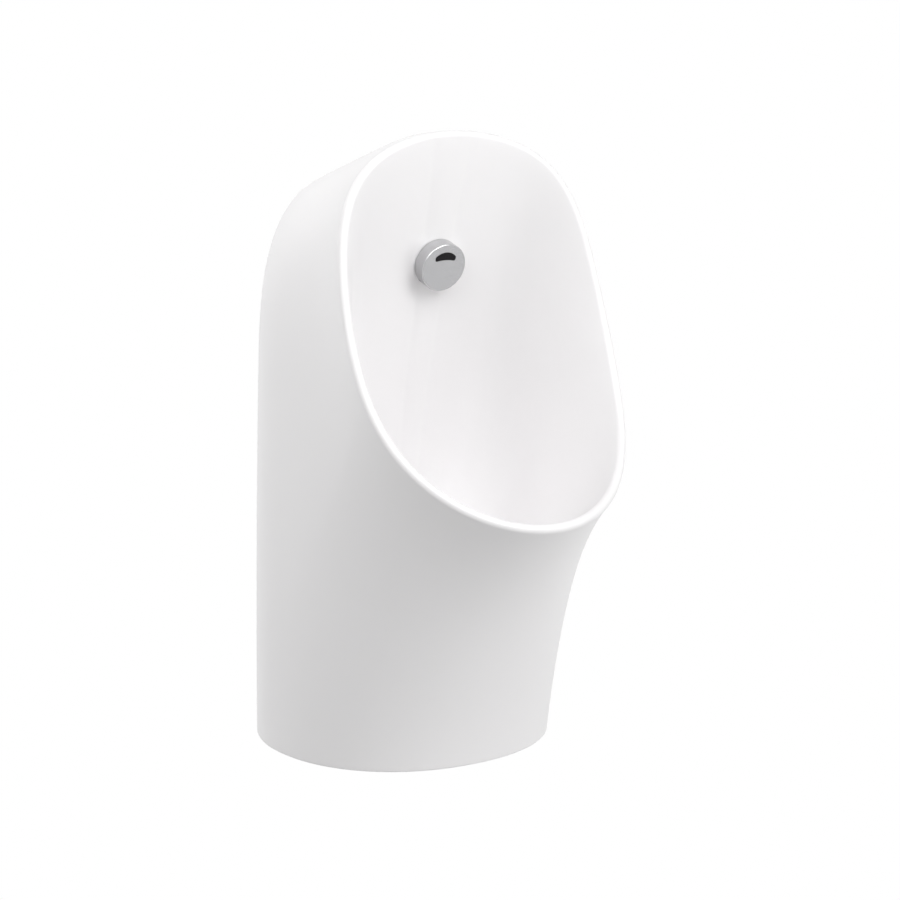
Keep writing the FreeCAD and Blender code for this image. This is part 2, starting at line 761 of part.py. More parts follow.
def spreader_cap():
    body = Part.makeCylinder(CAP_R, CAP_DEPTH - CAP_LIFT)
    rim = [edge for edge in body.Edges if edge.BoundBox.ZMin > CAP_DEPTH - CAP_LIFT - 0.01]
    body = oriented(body.makeFillet(CAP_EDGE, rim), SEAT_POINT + CAP_AXIS * CAP_LIFT, CAP_AXIS)
    body = body.cut(cap_rod(CAP_R - CAP_WALL, 0, CAP_DEPTH - CAP_FACE))
    body = body.cut(window_prism(0, CAP_DEPTH - CAP_FACE - 1, CAP_DEPTH + 1))
    wedge = Part.makeCylinder(CAP_R + 5, CAP_SLOT, FreeCAD.Vector(0, 0, 0), FreeCAD.Vector(0, 0, 1),
                              2 * CAP_SLOT_TURN)
    frame = FreeCAD.Rotation(on_cap(1, 180 - CAP_SLOT_TURN, 0) - SEAT_POINT,
                             on_cap(1, 270 - CAP_SLOT_TURN, 0) - SEAT_POINT, CAP_AXIS, "XZY")
    wedge.Placement = FreeCAD.Placement(SEAT_POINT + CAP_AXIS * CAP_SLOT_FROM, frame)
    body = body.cut(wedge)
    return body.cut(grub_rod(GRUB_R + THREAD, CAP_R - CAP_WALL - 3, CAP_R + 2))


def grub_rod(radius, start, end):
    """Rod square to the cap's axis, through its side at the core's flange."""
    middle = GASKET + CORE_FLANGE / 2
    heart = on_cap(0, 0, middle)
    outward = on_cap(1, 180 + GRUB_TURN, middle) - heart
    return rod(heart, outward, radius, start, end)


def cap_grub_screw():
    screw = grub_rod(GRUB_R, CAP_R - CAP_WALL - 2, CAP_R - 0.6)
    return screw.cut(grub_rod(GRUB_R / 2, CAP_R - 1.6, CAP_R))


def spreader_core():
    body = fused(cap_rod(CAP_R - CAP_WALL - THREAD, GASKET, GASKET + CORE_FLANGE),
                 cap_rod(SHANK_R, -SHANK_END, GASKET + 1))
    body = body.cut(cap_rod(SHANK_BORE, -SHANK_END - 1, GASKET + CORE_FLANGE + 1))
    return body.cut(grub_rod(GRUB_R + THREAD, CAP_R - CAP_WALL - 2, CAP_R))


def sensor_housing():
    face = CAP_DEPTH - CAP_FACE
    body = cap_rod(PUCK_R, PUCK_FROM, face)
    body = body.cut(cap_rod(PUCK_R - PUCK_WALL, PUCK_FROM + PUCK_WALL, face + 1))
    legs = [rod(on_cap(PUCK_LEG_RING, turn, 0), CAP_AXIS, PUCK_LEG_R, GASKET + CORE_FLANGE, PUCK_FROM + 0.5)
            for turn in (0, 120, 240)]
    tube = cap_rod(GUIDE_R, GLAND_NECK - TEE_END, PUCK_FROM + 0.5)
    body = fused(body, tube, *legs)
    return body.cut(cap_rod(LEAD_R + LEAD_PLAY, -TEE_END, PUCK_FROM + PUCK_WALL + 0.5))


def sensor_board():
    start = PUCK_FROM + PUCK_WALL
    board = cap_rod(PUCK_R - PUCK_WALL - THREAD, start, start + BOARD)
    diodes = [rod(on_cap(DIODE_RING, turn, 0), CAP_AXIS, DIODE_R, start + BOARD - 0.2, start + BOARD + DIODE)
              for turn in (-DIODE_TURN, DIODE_TURN)]
    return fused(board, *diodes)


def sensor_lens():
    face = CAP_DEPTH - CAP_FACE
    flange = window_prism(LENS_BORDER, face - LENS_FLANGE, face)
    return fused(flange, window_prism(-THREAD, face - 0.5, CAP_DEPTH - LENS_RECESS))


def rear_washer():
    return cap_ring(WASHER_R, SHANK_R + THREAD, -BOSS_DEPTH - WASHER, -BOSS_DEPTH)


def spreader_backnut():
    start = -BOSS_DEPTH - WASHER
    return hexagon(SEAT_POINT, CAP_AXIS, SPOUT_FLATS, SHANK_R + THREAD, start - SPOUT_NUT, start)


def leg_point():
    return SEAT_POINT - CAP_AXIS * TEE_LEG_AT


def inlet_tee():
    leg = leg_point()
    down = UP * -1
    body = fused(cap_rod(TEE_R, -TEE_END, -TEE_FROM), rod(leg, down, TEE_COLLAR_R, 0, TEE_COLLAR),
                 rod(leg, down, PIPE_THREAD_R, 0, TEE_LEG))
    body = body.cut(cap_rod(SHANK_R + THREAD, -SHANK_END, 0))
    body = body.cut(cap_rod(TEE_BORE, -TEE_BACK, -SHANK_END))
    body = body.cut(rod(leg, down, WATER_BORE, 0, TEE_LEG + 1))
    body = body.cut(cap_rod(GUIDE_R + RUN, -TEE_END, -TEE_BACK + 1))
    return body.cut(cap_rod(GLAND_NECK_R + THREAD, -TEE_END - 1, GLAND_NECK - TEE_END))


def cable_gland():
    head = cap_rod(GLAND_R, -GLAND_END, -TEE_END)
    body = fused(head, cap_rod(GLAND_NECK_R, -TEE_END - 1, GLAND_NECK - TEE_END))
    return body.cut(cap_rod(LEAD_R + LEAD_PLAY, -GLAND_END - 1, 0))


def sensor_cable():
    axis = CAP_AXIS * -1
    start = on_cap(0, 0, PUCK_FROM + PUCK_WALL)
    join = SEAT_POINT + axis * (GLAND_END - LEAD_JOIN)
    turn = SEAT_POINT + axis * (GLAND_END + LEAD_JOIN)
    foot = place(BOX_X, LEAD_D, BOX_HIGH - BOX_WALL - TERMINAL)
    bends = [turn, place(*LEAD_SIDE), place(BOX_X, LEAD_D, LEAD_DROP_Z)]
    path = bent_path([join] + bends + [foot], start)
    return swept(path, LEAD_R, start, join)


# ============================================================ plate and hooks
def rounded_plate(half, low, high, start, end, corner):
    """Plate square to the wall's normal, with rounded corners."""
    box = block(-half, half, start, end, low, high)
    edges = [edge for edge in box.Edges if edge.BoundBox.YLength > (end - start) * 0.9]
    return box.makeFillet(corner, edges)


def mounting_plate():
    plate = rounded_plate(PLATE_HALF, PLATE_LOW, PLATE_HIGH, 0, PLATE, PLATE_CORNER)
    window = rounded_plate(PLATE_WINDOW_HALF, PLATE_WINDOW_LOW, PLATE_WINDOW_HIGH,
                           -1, PLATE + 1, PLATE_CORNER)
    holes = [rod(place(side * FIX_X, 0, z), FORWARD, FIX_R, -1, PLATE + 1)
             for side in (-1, 1) for z in (FIX_LOW, FIX_HIGH)]
    holes += [rod(place(side * HOOK_X, 0, z), FORWARD, RIVET_R, -1, PLATE + 1)
              for side in (-1, 1) for z in RIVET_Z]
    holes += [rod(place(x, 0, BOX_HIGH + EAR / 2), FORWARD, BOX_SCREW_R + THREAD, -1, PLATE + 1)
              for x in EAR_X]
    holes.append(rod(place(FEED_X, 0, FEED_Z), FORWARD, PIPE_THREAD_R + LOOSE, -1, PLATE + 1))
    return plate.cut([window] + holes)


def hook_profile():
    front = WEB_FROM + WEB + HOOK_PLAY
    return [(PLATE, HOOK_FOOT), (PLATE + HOOK, HOOK_FOOT), (PLATE + HOOK, HOOK_TOP - HOOK),
            (front + HOOK, HOOK_TOP - HOOK), (front + HOOK, HOOK_TOP + HOOK_LIP),
            (front, HOOK_TOP + HOOK_LIP), (front, HOOK_TOP), (PLATE, HOOK_TOP), (PLATE, HOOK_FOOT)]


def hanger_hooks():
    hooks = []
    for side in (-1, 1):
        left = side * HOOK_X - HOOK_WIDTH / 2
        wire = Part.makePolygon([place(left, d, z) for d, z in hook_profile()])
        hook = Part.Face(wire).extrude(RIGHT * HOOK_WIDTH)
        holes = [rod(place(side * HOOK_X, 0, z), FORWARD, RIVET_R, 0, PLATE + HOOK + 1) for z in RIVET_Z]
        hooks.append(hook.cut(holes))
    return Part.Compound(hooks)


def hook_rivets():
    front = PLATE + HOOK
    rivets = []
    for side in (-1, 1):
        for z in RIVET_Z:
            foot = place(side * HOOK_X, 0, z)
            head = rod(foot, FORWARD, RIVET_HEAD_R, front, front + RIVET_HEAD)
            rivets.append(fused(head, rod(foot, FORWARD, RIVET_R, RIVET_RECESS, front + 1)))
    return Part.Compound(rivets)


def hook_pads():
    half = HOOK_WIDTH / 2
    front = WEB_FROM + WEB + HOOK_PLAY
    return Part.Compound([block(side * HOOK_X - half, side * HOOK_X + half, PLATE + HOOK + 1, front - SEAT,
                                HOOK_TOP, HOOK_TOP + PAD) for side in (-1, 1)])


# ============================================================== ceramic body
def hanger_web():
    """Web across the arch, its edge in the middle of the wall, with two slots."""
    depth = WEB_FROM + WEB / 2
    side = sqrt(1 - ((MID_DEPTH - depth) / REAR_REACH) ** 2)
    top = crown_height(depth) - WALL / 2
    points = []
    for turn in spread(0, pi / 2, 40):
        z = ARCH_SPRING + (top - ARCH_SPRING) * max(cos(turn), 0) ** (2 / ARCH_POWER)
        if z > WEB_FOOT:
            reach = half_width(z) * side - WALL / 2
            points.append((reach * sin(turn) ** (2 / ARCH_POWER), z))
    points.append((points[-1][0], WEB_FOOT))
    outline = [(-x, z) for x, z in reversed(points)] + points[1:]
    wire = Part.makePolygon([place(x, WEB_FROM, z) for x, z in outline + outline[:1]])
    web = Part.Face(wire).extrude(FORWARD * WEB)
    top = HOOK_TOP + PAD
    half = WEB_SLOT_WIDTH / 2
    slots = [block(side * HOOK_X - half, side * HOOK_X + half, 0, WEB_FROM + WEB + 1,
                   top - WEB_SLOT_HEIGHT, top)
             for side in (-1, 1)]
    return web.cut(slots)


def ceramic_body():
    drain = place(0, DRAIN_D, 0)
    boss = ring(drain, UP, DRAIN_BOSS_R, BOWL_MOUTH, DRAIN_BOSS_Z, DRAIN_BOSS_TOP)
    body = ceramic_shell().fuse([hanger_web(), boss, cap_rod(BOSS_R, -BOSS_DEPTH, -WALL / 2)])
    body = body.cut([rod(drain, UP, RECESS_R, RECESS_Z, SUMP_Z + WALL),
                     rod(drain, UP, DRAIN_R, DRAIN_BOSS_Z - 1, SUMP_Z),
                     cap_rod(CAP_R + LOOSE, 0, CAP_DEPTH),
                     cap_rod(SHANK_R + LOOSE, -BOSS_DEPTH - 1, 1)])
    return body


# ================================================================= water feed
def feed_point(z=FEED_Z):
    return place(FEED_X, FEED_D, z)


def stop_valve_body():
    heart = place(FEED_X, 0, FEED_Z)
    body = fused(rod(heart, FORWARD, PIPE_THREAD_R, -NIPPLE, STOP_BACK + 1),
                 rod(heart, FORWARD, NIPPLE_COLLAR_R, 0, STOP_BACK + 1),
                 rod(heart, FORWARD, STOP_R, STOP_BACK, STOP_FRONT),
                 rod(feed_point(), UP, PIPE_THREAD_R, 0, OUTLET_BOSS))
    body = body.cut([rod(heart, FORWARD, WATER_BORE, -NIPPLE - 1, FEED_D),
                     rod(heart, FORWARD, BALL_R + SEAT, FEED_D - BALL_R - SEAT, STOP_FRONT + 1),
                     rod(feed_point(), UP, WATER_BORE, 0, OUTLET_BOSS + 1)])
    return body


def stop_bonnet():
    heart = place(FEED_X, 0, FEED_Z)
    body = fused(hexagon(heart, FORWARD, BONNET_FLATS, STEM_R + RUN, STOP_FRONT, BONNET_FACE),
                 ring(heart, FORWARD, BALL_R + SEAT - THREAD, STEM_R + RUN,
                      FEED_D + BALL_R + SEAT, STOP_FRONT + 1))
    reach = HANDLE_HALF + STOP_PIN_R + SEAT
    pins = [rod(place(FEED_X - reach, 0, FEED_Z + STOP_PIN_AT), FORWARD, STOP_PIN_R, BONNET_FACE - 1,
                BONNET_FACE + STOP_PIN),
            rod(place(FEED_X + STOP_PIN_AT, 0, FEED_Z - reach), FORWARD, STOP_PIN_R, BONNET_FACE - 1,
                BONNET_FACE + STOP_PIN)]
    return fused(body, *pins)


def tang(play, start, end):
    return block(FEED_X - TANG_HALF - play, FEED_X + TANG_HALF + play, start, end,
                 FEED_Z - TANG_REACH - play, FEED_Z + TANG_REACH + play)


def stop_ball():
    ball = Part.makeSphere(BALL_R, feed_point())
    return ball.cut([rod(feed_point(), FORWARD * -1, BALL_PORT, 0, BALL_R + 1),
                     rod(feed_point(), UP, BALL_PORT, 0, BALL_R + 1),
                     tang(THREAD, FEED_D + BALL_SLOT, FEED_D + BALL_R + 1)])


def stop_stem():
    heart = place(FEED_X, 0, FEED_Z)
    joint = FEED_D + BALL_R + SEAT
    face = BONNET_FACE + HANDLE_GAP
    square = block(FEED_X - STEM_SQUARE, FEED_X + STEM_SQUARE, face - 1, STEM_END,
                   FEED_Z - STEM_SQUARE, FEED_Z + STEM_SQUARE)
    flat = tang(0, FEED_D + BALL_SLOT + THREAD, joint + 1)
    flat = flat.common(rod(heart, FORWARD, STEM_R, FEED_D, joint + 1))
    body = fused(flat, rod(heart, FORWARD, STEM_R, joint, face),
                 square.common(rod(heart, FORWARD, STEM_R, face - 1, STEM_END)))
    return body.cut(rod(heart, FORWARD, CAP_SCREW_R + THREAD, STEM_END - CAP_SCREW_DEEP - 1, STEM_END + 1))


def stop_handle():
    heart = place(FEED_X, 0, FEED_Z)
    face = BONNET_FACE + HANDLE_GAP
    tip = place(FEED_X, 0, FEED_Z + HANDLE_LENGTH)
    bar = block(FEED_X - HANDLE_HALF, FEED_X + HANDLE_HALF, face, face + HANDLE_THICK, FEED_Z,
                FEED_Z + HANDLE_LENGTH)
    body = fused(rod(heart, FORWARD, HANDLE_R, face, STEM_END), bar,
                 rod(tip, FORWARD, HANDLE_HALF, face, face + HANDLE_THICK))
    play = STEM_SQUARE + THREAD
    hole = block(FEED_X - play, FEED_X + play, face - 1, STEM_END + 1, FEED_Z - play, FEED_Z + play)
    return body.cut(hole)


def handle_screw():
    heart = place(FEED_X, 0, FEED_Z)
    screw = fused(rod(heart, FORWARD, CAP_SCREW_HEAD_R, STEM_END, STEM_END + CAP_SCREW_HEAD),
                  rod(heart, FORWARD, CAP_SCREW_R, STEM_END - CAP_SCREW_DEEP, STEM_END + 1))
    slot = block(FEED_X - CAP_SCREW_HEAD_R, FEED_X + CAP_SCREW_HEAD_R, STEM_END + 1.4, STEM_END + 9,
                 FEED_Z - 0.5, FEED_Z + 0.5)
    return screw.cut(slot)


def tail_z():
    """Underside of the solenoid valve's tail."""
    return FEED_Z + OUTLET_BOSS + FLAT_SEAL


def block_z():
    return tail_z() + TAIL


def deck_z():
    """Upper face of the valve block."""
    return block_z() + BLOCK_HIGH


def union_nut():
    low = FEED_Z + OUTLET_BOSS - UNION_GRIP
    collar = tail_z() + TAIL_COLLAR + RUN
    nut = hexagon(feed_point(0), UP, UNION_FLATS, TAIL_R + SEAT, low, collar + UNION_WALL)
    return nut.cut(rod(feed_point(0), UP, TAIL_COLLAR_R + SEAT, low - 1, collar))


def flat_seal(origin, axis):
    return ring(origin, axis, FLAT_SEAL_R, FLAT_SEAL_BORE, 0, FLAT_SEAL)


def arm_top():
    return place(0, FEED_D, block_z() + ARM_HIGH + ARM_BOSS)


def leg_end():
    return leg_point() - UP * TEE_LEG


def flat_seals():
    return Part.Compound([flat_seal(feed_point(FEED_Z + OUTLET_BOSS), UP), flat_seal(arm_top(), UP),
                          flat_seal(leg_end(), UP * -1)])


def inlet_filter():
    low = tail_z()
    foot = feed_point(0)
    top = low + TAIL - 2
    body = fused(rod(foot, UP, FILTER_FLANGE_R, low, low + 1), rod(foot, UP, FILTER_R, low, top))
    body = body.cut(rod(foot, UP, FILTER_R - FILTER_WALL, low - 1, top - FILTER_WALL))
    holes = [rod(feed_point(low + 3 + 2 * level), RIGHT if turn else FORWARD, FILTER_HOLE, -9, 9)
             for level in range(4) for turn in (0, 1)]
    return body.cut(holes)


def valve_block():
    low = block_z()
    deck = deck_z()
    half = BLOCK / 2
    seat = deck - DIAPHRAGM
    foot = feed_point(0)
    cross = low + ARM_HIGH / 2
    body = fused(block(FEED_X - half, FEED_X + half, FEED_D - half, FEED_D + half, low, deck),
                 block(-ARM_HALF, FEED_X, FEED_D - ARM_HALF, FEED_D + ARM_HALF, low, low + ARM_HIGH),
                 rod(place(0, FEED_D, 0), UP, PIPE_THREAD_R, low + ARM_HIGH - 1, low + ARM_HIGH + ARM_BOSS),
                 rod(foot, UP, TAIL_R, tail_z(), low + 1),
                 rod(foot, UP, TAIL_COLLAR_R, tail_z(), tail_z() + TAIL_COLLAR))
    moat = ring(foot, UP, MOAT_R, VALVE_SEAT_R, seat - MOAT_DEEP, seat + 0.1)
    cuts = [rod(foot, UP, DIAPHRAGM_R + THREAD, seat, deck + 1), moat,
            rod(foot, UP, FILTER_FLANGE_R + THREAD, tail_z() - 1, low - 2),
            rod(foot, UP, PASSAGE_R, low - 3, low + 5),
            rod(place(FEED_X, FEED_D, low + 2.5), RIGHT, RISER_R, 0, RISER_AT),
            rod(place(FEED_X + RISER_AT, FEED_D, 0), UP, RISER_R, low + 2.5, seat - MOAT_DEEP + 1),
            rod(foot, UP, PASSAGE_R, cross, seat + 1),
            rod(place(FEED_X, FEED_D, cross), RIGHT * -1, PASSAGE_R, 0, FEED_X),
            rod(place(0, FEED_D, 0), UP, PASSAGE_R, cross, low + ARM_HIGH + ARM_BOSS + 1)]
    cuts += [rod(spot, UP, BLOCK_SCREW_R + THREAD, deck - BLOCK_SCREW_DEEP, deck + 1)
             for spot in screw_spots()]
    return body.cut(cuts)


def screw_spots():
    return [place(FEED_X + side * BLOCK_SCREW_AT, FEED_D + front * BLOCK_SCREW_AT, 0)
            for side in (-1, 1) for front in (-1, 1)]


def diaphragm():
    deck = deck_z()
    disc = rod(feed_point(0), UP, DIAPHRAGM_R, deck - DIAPHRAGM, deck)
    return disc.cut(rod(feed_point(0), UP, PILOT_R, deck - DIAPHRAGM - 1, deck + 1))


def valve_bonnet():
    deck = deck_z()
    half = BLOCK / 2
    plate = block(FEED_X - half, FEED_X + half, FEED_D - half, FEED_D + half, deck, deck + BONNET)
    cuts = [rod(feed_point(0), UP, MOAT_R, deck - 1, deck + BONNET_POCKET),
            rod(feed_point(0), UP, CORE_TUBE_R + THREAD, deck, deck + BONNET + 1)]
    cuts += [rod(spot, UP, BLOCK_SCREW_R + THREAD, deck - 1, deck + BONNET + 1) for spot in screw_spots()]
    return plate.cut(cuts)


def valve_screws():
    top = deck_z() + BONNET
    screws = []
    for spot in screw_spots():
        head = rod(spot, UP, BLOCK_SCREW_HEAD_R, top, top + BLOCK_SCREW_HEAD)
        screw = fused(head, rod(spot, UP, BLOCK_SCREW_R, deck_z() - BLOCK_SCREW_DEEP + 1, top + 1))
        screws.append(screw.cut(rod(spot, UP, BLOCK_SCREW_R, top + 1.4, top + BLOCK_SCREW_HEAD + 1)))
    return Part.Compound(screws)


def tube_z():
    """Underside of the core tube's flange."""
    return deck_z() + BONNET_POCKET - CORE_TUBE_FLANGE


def pole_z():
    """Underside of the tube's fixed pole, which the lifted plunger doesn't quite reach."""
    return plunger_z() + PLUNGER + PLUNGER_TRAVEL + SEAT


def core_tube():
    foot = feed_point(0)
    top = tube_z() + CORE_TUBE_HIGH
    body = fused(rod(foot, UP, CORE_TUBE_FLANGE_R, tube_z(), tube_z() + CORE_TUBE_FLANGE),
                 rod(foot, UP, CORE_TUBE_R, tube_z(), top))
    return body.cut([rod(foot, UP, CORE_TUBE_BORE, tube_z() - 1, pole_z()),
                     rod(foot, UP, SPRING_POCKET_R, pole_z() - 1, pole_z() + SPRING_POCKET)])


def plunger_z():
    return deck_z() + PLUNGER_GAP


def plunger():
    foot = feed_point(0)
    low = plunger_z()
    return fused(rod(foot, UP, PLUNGER_TIP_R, low, low + PLUNGER_TIP + 1),
                 rod(foot, UP, PLUNGER_R, low + PLUNGER_TIP, low + PLUNGER))


def tangent_arc(start, heading, end):
    """Arc that leaves a point along a heading and ends at another point."""
    chord = end - start
    side = heading - chord * (heading.dot(chord) / chord.dot(chord))
    sagitta = chord.Length / 2 * tan(heading.getAngle(chord) / 2)
    return Part.Arc(start, start + chord / 2 + side.normalize() * sagitta, end).toShape()


def twin_arcs(start, heading, end, leaving):
    """Two arcs that join a point and heading to another without a corner."""
    chord = end - start
    both = heading + leaving
    spare = 2 * (1 - heading.dot(leaving))
    reach = (sqrt(chord.dot(both) ** 2 + spare * chord.dot(chord)) - chord.dot(both)) / spare
    middle = (start + heading * reach + end - leaving * reach) / 2
    return [tangent_arc(start, heading, middle), tangent_arc(end, leaving * -1, middle)]


def coil_spring(foot, radius, wire, length, turns):
    """Round wire wound up the Z axis, filling the length."""
    rise = (length - 2 * wire) / turns
    slope = rise / (2 * pi)
    steps = 4 * turns

    def spot(k):
        turn = k * pi / 2
        return foot + FreeCAD.Vector(radius * cos(turn), radius * sin(turn), wire + slope * turn)

    def heading(k):
        turn = k * pi / 2
        return FreeCAD.Vector(-radius * sin(turn), radius * cos(turn), slope).normalize()

    arcs = []
    for k in range(steps):
        arcs += twin_arcs(spot(k), heading(k), spot(k + 1), heading(k + 1))
    return swept(Part.Wire(arcs), wire, spot(0), spot(0) + heading(0))


def plunger_spring():
    low = plunger_z() + PLUNGER
    return coil_spring(feed_point(low), SPRING_R, SPRING_WIRE, pole_z() + SPRING_POCKET - low, SPRING_TURNS)


def solenoid_coil():
    low = deck_z() + BONNET
    foot = feed_point(0)
    plug = block(FEED_X - PLUG_HALF, FEED_X + PLUG_HALF, FEED_D - COIL_R - PLUG_BACK, FEED_D - COIL_R / 2,
                 low + PLUG_FROM, low + PLUG_FROM + PLUG_HIGH)
    body = fused(rod(foot, UP, COIL_R, low, low + COIL), plug)
    cuts = [rod(foot, UP, CORE_TUBE_R + THREAD, low - 1, low + COIL + 1)]
    cuts += [rod(spot, UP, BLOCK_SCREW_HEAD_R + THREAD, low - 1, low + BLOCK_SCREW_HEAD + THREAD)
             for spot in screw_spots()]
    return body.cut(cuts)


def coil_nut():
    low = deck_z() + BONNET + COIL
    return hexagon(feed_point(0), UP, 2 * COIL_NUT_R, CORE_TUBE_R + THREAD, low, low + COIL_NUT)


def hose_end(origin, axis):
    """Crimped end of the hose: collar against the seal, and sleeve."""
    body = fused(rod(origin, axis, COLLAR_R, FLAT_SEAL, FLAT_SEAL + COLLAR),
                 rod(origin, axis, SLEEVE_R, FLAT_SEAL, FLAT_SEAL + COLLAR + SLEEVE))
    return body.cut(rod(origin, axis, HOSE_BORE, 0, FLAT_SEAL + COLLAR + SLEEVE + 1))


def flush_hose():
    start = arm_top() + UP * FLAT_SEAL
    end = leg_end() - UP * FLAT_SEAL
    points = [start, start + UP * HOSE_STRAIGHT, end - UP * HOSE_STRAIGHT, end]
    path = bent_path(points)
    hose = swept(path, HOSE_R, points[0], points[1]).cut(swept(path, HOSE_BORE, points[0], points[1]))
    return fused(hose, hose_end(arm_top(), UP), hose_end(leg_end(), UP * -1))


def hose_nut(origin, axis):
    collar = FLAT_SEAL + COLLAR + RUN
    nut = hexagon(origin, axis, HOSE_NUT_FLATS, SLEEVE_R + SEAT, -HOSE_NUT_GRIP, collar + HOSE_NUT_WALL)
    return nut.cut(rod(origin, axis, PIPE_THREAD_R + THREAD, -HOSE_NUT_GRIP - 1, collar))


def hose_nuts():
    return Part.Compound([hose_nut(arm_top(), UP), hose_nut(leg_end(), UP * -1)])


# ================================================================ control box
def box_front():
    return PLATE + BOX_DEPTH


def control_box():
    front = box_front()
    shell = block(BOX_LEFT, BOX_RIGHT, PLATE, front, BOX_LOW, BOX_HIGH)
    inner = (BOX_LEFT + BOX_WALL, BOX_RIGHT - BOX_WALL, PLATE + BOX_WALL, front - BOX_WALL)
    shell = shell.cut([block(*inner, BOX_LOW - 1, SHELF_Z),
                       block(*inner, SHELF_Z + BOX_WALL, BOX_HIGH - BOX_WALL)])
    ears = [block(x - EAR / 2, x + EAR / 2, PLATE, PLATE + EAR_THICK, BOX_HIGH - 1, BOX_HIGH + EAR)
            for x in EAR_X]
    tabs = [block(x, x + KNUCKLE, PLATE + BOX_WALL - 1, HINGE_D + HINGE_R, HINGE_Z, BOX_LOW + 2)
            for x in knuckle_places()]
    knuckles = [rod(place(x, HINGE_D, HINGE_Z), RIGHT, HINGE_R, 0, KNUCKLE) for x in knuckle_places()]
    body = fused(shell, *(ears + tabs + knuckles))
    cuts = [rod(place(x, 0, BOX_HIGH + EAR / 2), FORWARD, BOX_SCREW_R + THREAD, 0, PLATE + EAR_THICK + 1)
            for x in EAR_X]
    cuts += [rod(place(0, HINGE_D, HINGE_Z), RIGHT, PIN_R + RUN, BOX_LEFT, BOX_RIGHT),
             rod(place(BOX_X, LEAD_D, 0), UP, LEAD_R + LEAD_PLAY, BOX_HIGH - BOX_WALL - 1, BOX_HIGH + 1),
             rod(place(0, VALVE_LEAD_D, VALVE_LEAD_Z), RIGHT, LEAD_R + LEAD_PLAY, BOX_RIGHT - BOX_WALL - 1,
                 BOX_RIGHT + 1)]
    return body.cut(cuts)


def knuckle_places():
    inset = DOOR_END_GAP
    return (BOX_LEFT + inset, BOX_RIGHT - inset - KNUCKLE)


def battery_door():
    left = BOX_LEFT + DOOR_END_GAP
    right = BOX_RIGHT - DOOR_END_GAP
    top = BOX_LOW - DOOR_GAP
    plate = block(left, right, DOOR_BACK, box_front(), top - DOOR, top)
    notches = [block(x - KNUCKLE_GAP - 1, x + KNUCKLE + KNUCKLE_GAP,
                     DOOR_BACK - 1, NOTCH_D, top - DOOR - 1, top + 1)
               for x in knuckle_places()[:1]]
    notches += [block(x - KNUCKLE_GAP, x + KNUCKLE + 1, DOOR_BACK - 1, NOTCH_D, top - DOOR - 1, top + 1)
                for x in knuckle_places()[1:]]
    start = left + KNUCKLE + KNUCKLE_GAP
    end = right - KNUCKLE - KNUCKLE_GAP
    barrel = rod(place(0, HINGE_D, HINGE_Z), RIGHT, HINGE_R, start, end)
    lip = block(left + BOX_WALL, right - BOX_WALL, LIP_D_FROM, LIP_D_FROM + DOOR_LIP,
                top - 1, top + DOOR_LIP_HIGH)
    body = fused(plate.cut(notches), barrel, lip)
    return body.cut(rod(place(0, HINGE_D, HINGE_Z), RIGHT, PIN_R + RUN, start - 1, end + 1))


def door_pin():
    return rod(place(0, HINGE_D, HINGE_Z), RIGHT, PIN_R, BOX_LEFT + DOOR_END_GAP, BOX_RIGHT - DOOR_END_GAP)


def cell_places():
    return [BOX_X + CELL_PITCH * (k - (CELL_COUNT - 1) / 2) for k in range(CELL_COUNT)]


def cell_z():
    return SHELF_Z - CONTACT - CELL_NUB - CELL


def batteries():
    cells = []
    for x in cell_places():
        foot = place(x, CELL_D, cell_z())
        cells.append(fused(rod(foot, UP, CELL_R, 0, CELL),
                           rod(foot, UP, CELL_NUB_R, CELL - 1, CELL + CELL_NUB)))
    return Part.Compound(cells)


def battery_contacts():
    """Two strips under the shelf, each joining a pair of cells."""
    places = cell_places()
    half = CELL_PITCH / 2 + STRIP_HALF
    return Part.Compound([block(x - half, x + half, CELL_D - STRIP_HALF, CELL_D + STRIP_HALF,
                                SHELF_Z - CONTACT, SHELF_Z)
                          for x in ((places[0] + places[1]) / 2, (places[2] + places[3]) / 2)])


def door_contacts():
    low = BOX_LOW - DOOR_GAP
    high = cell_z() - RUN
    foot = low + CONTACT - STRIP_BITE
    strip = block(cell_places()[0] - STRIP_HALF, cell_places()[-1] + STRIP_HALF, HINGE_D + HINGE_R + SEAT,
                  CELL_D + STRIP_HALF, low, low + CONTACT)
    springs = [coil_spring(place(x, CELL_D, foot), CONTACT_SPRING_R, CONTACT_WIRE, high - foot, CONTACT_TURNS)
               for x in cell_places()]
    return fused(strip, *springs)


def control_board():
    low = SHELF_Z + BOX_WALL + BOARD_MARGIN
    high = BOX_HIGH - BOX_WALL - BOARD_MARGIN
    left = BOX_LEFT + BOX_WALL + BOARD_MARGIN
    right = BOX_RIGHT - BOX_WALL - BOARD_MARGIN
    front = BOARD_D + BOARD_THICK
    half = SOCKET / 2
    board = block(left, right, BOARD_D, front, low, high)
    feet = [rod(place(x, 0, z), FORWARD, FOOT_R, PLATE + BOX_WALL, BOARD_D + SINK)
            for x in (left + FOOT_AT, right - FOOT_AT) for z in (low + FOOT_AT, high - FOOT_AT)]
    top = BOX_HIGH - BOX_WALL - TERMINAL
    sensor_plug = block(BOX_X - half, BOX_X + half, front - SINK, LEAD_D + LEAD_R + 1, top - SOCKET, top)
    valve_plug = block(right - PLUG_PIN - SOCKET, right - PLUG_PIN, front - SINK, VALVE_LEAD_D + LEAD_R + 1,
                       VALVE_LEAD_Z - half, VALVE_LEAD_Z + half)
    chip = block(BOX_X - CHIP, BOX_X, front - SINK, front + CHIP_HIGH,
                 low + CHIP_FOOT, low + CHIP_FOOT + CHIP)
    store = rod(place(left + STORE_AT, 0, low + CHIP_FOOT), FORWARD, STORE_R,
                front - SINK, front + STORE_HIGH)
    return fused(board, sensor_plug, valve_plug, chip, store, *feet)


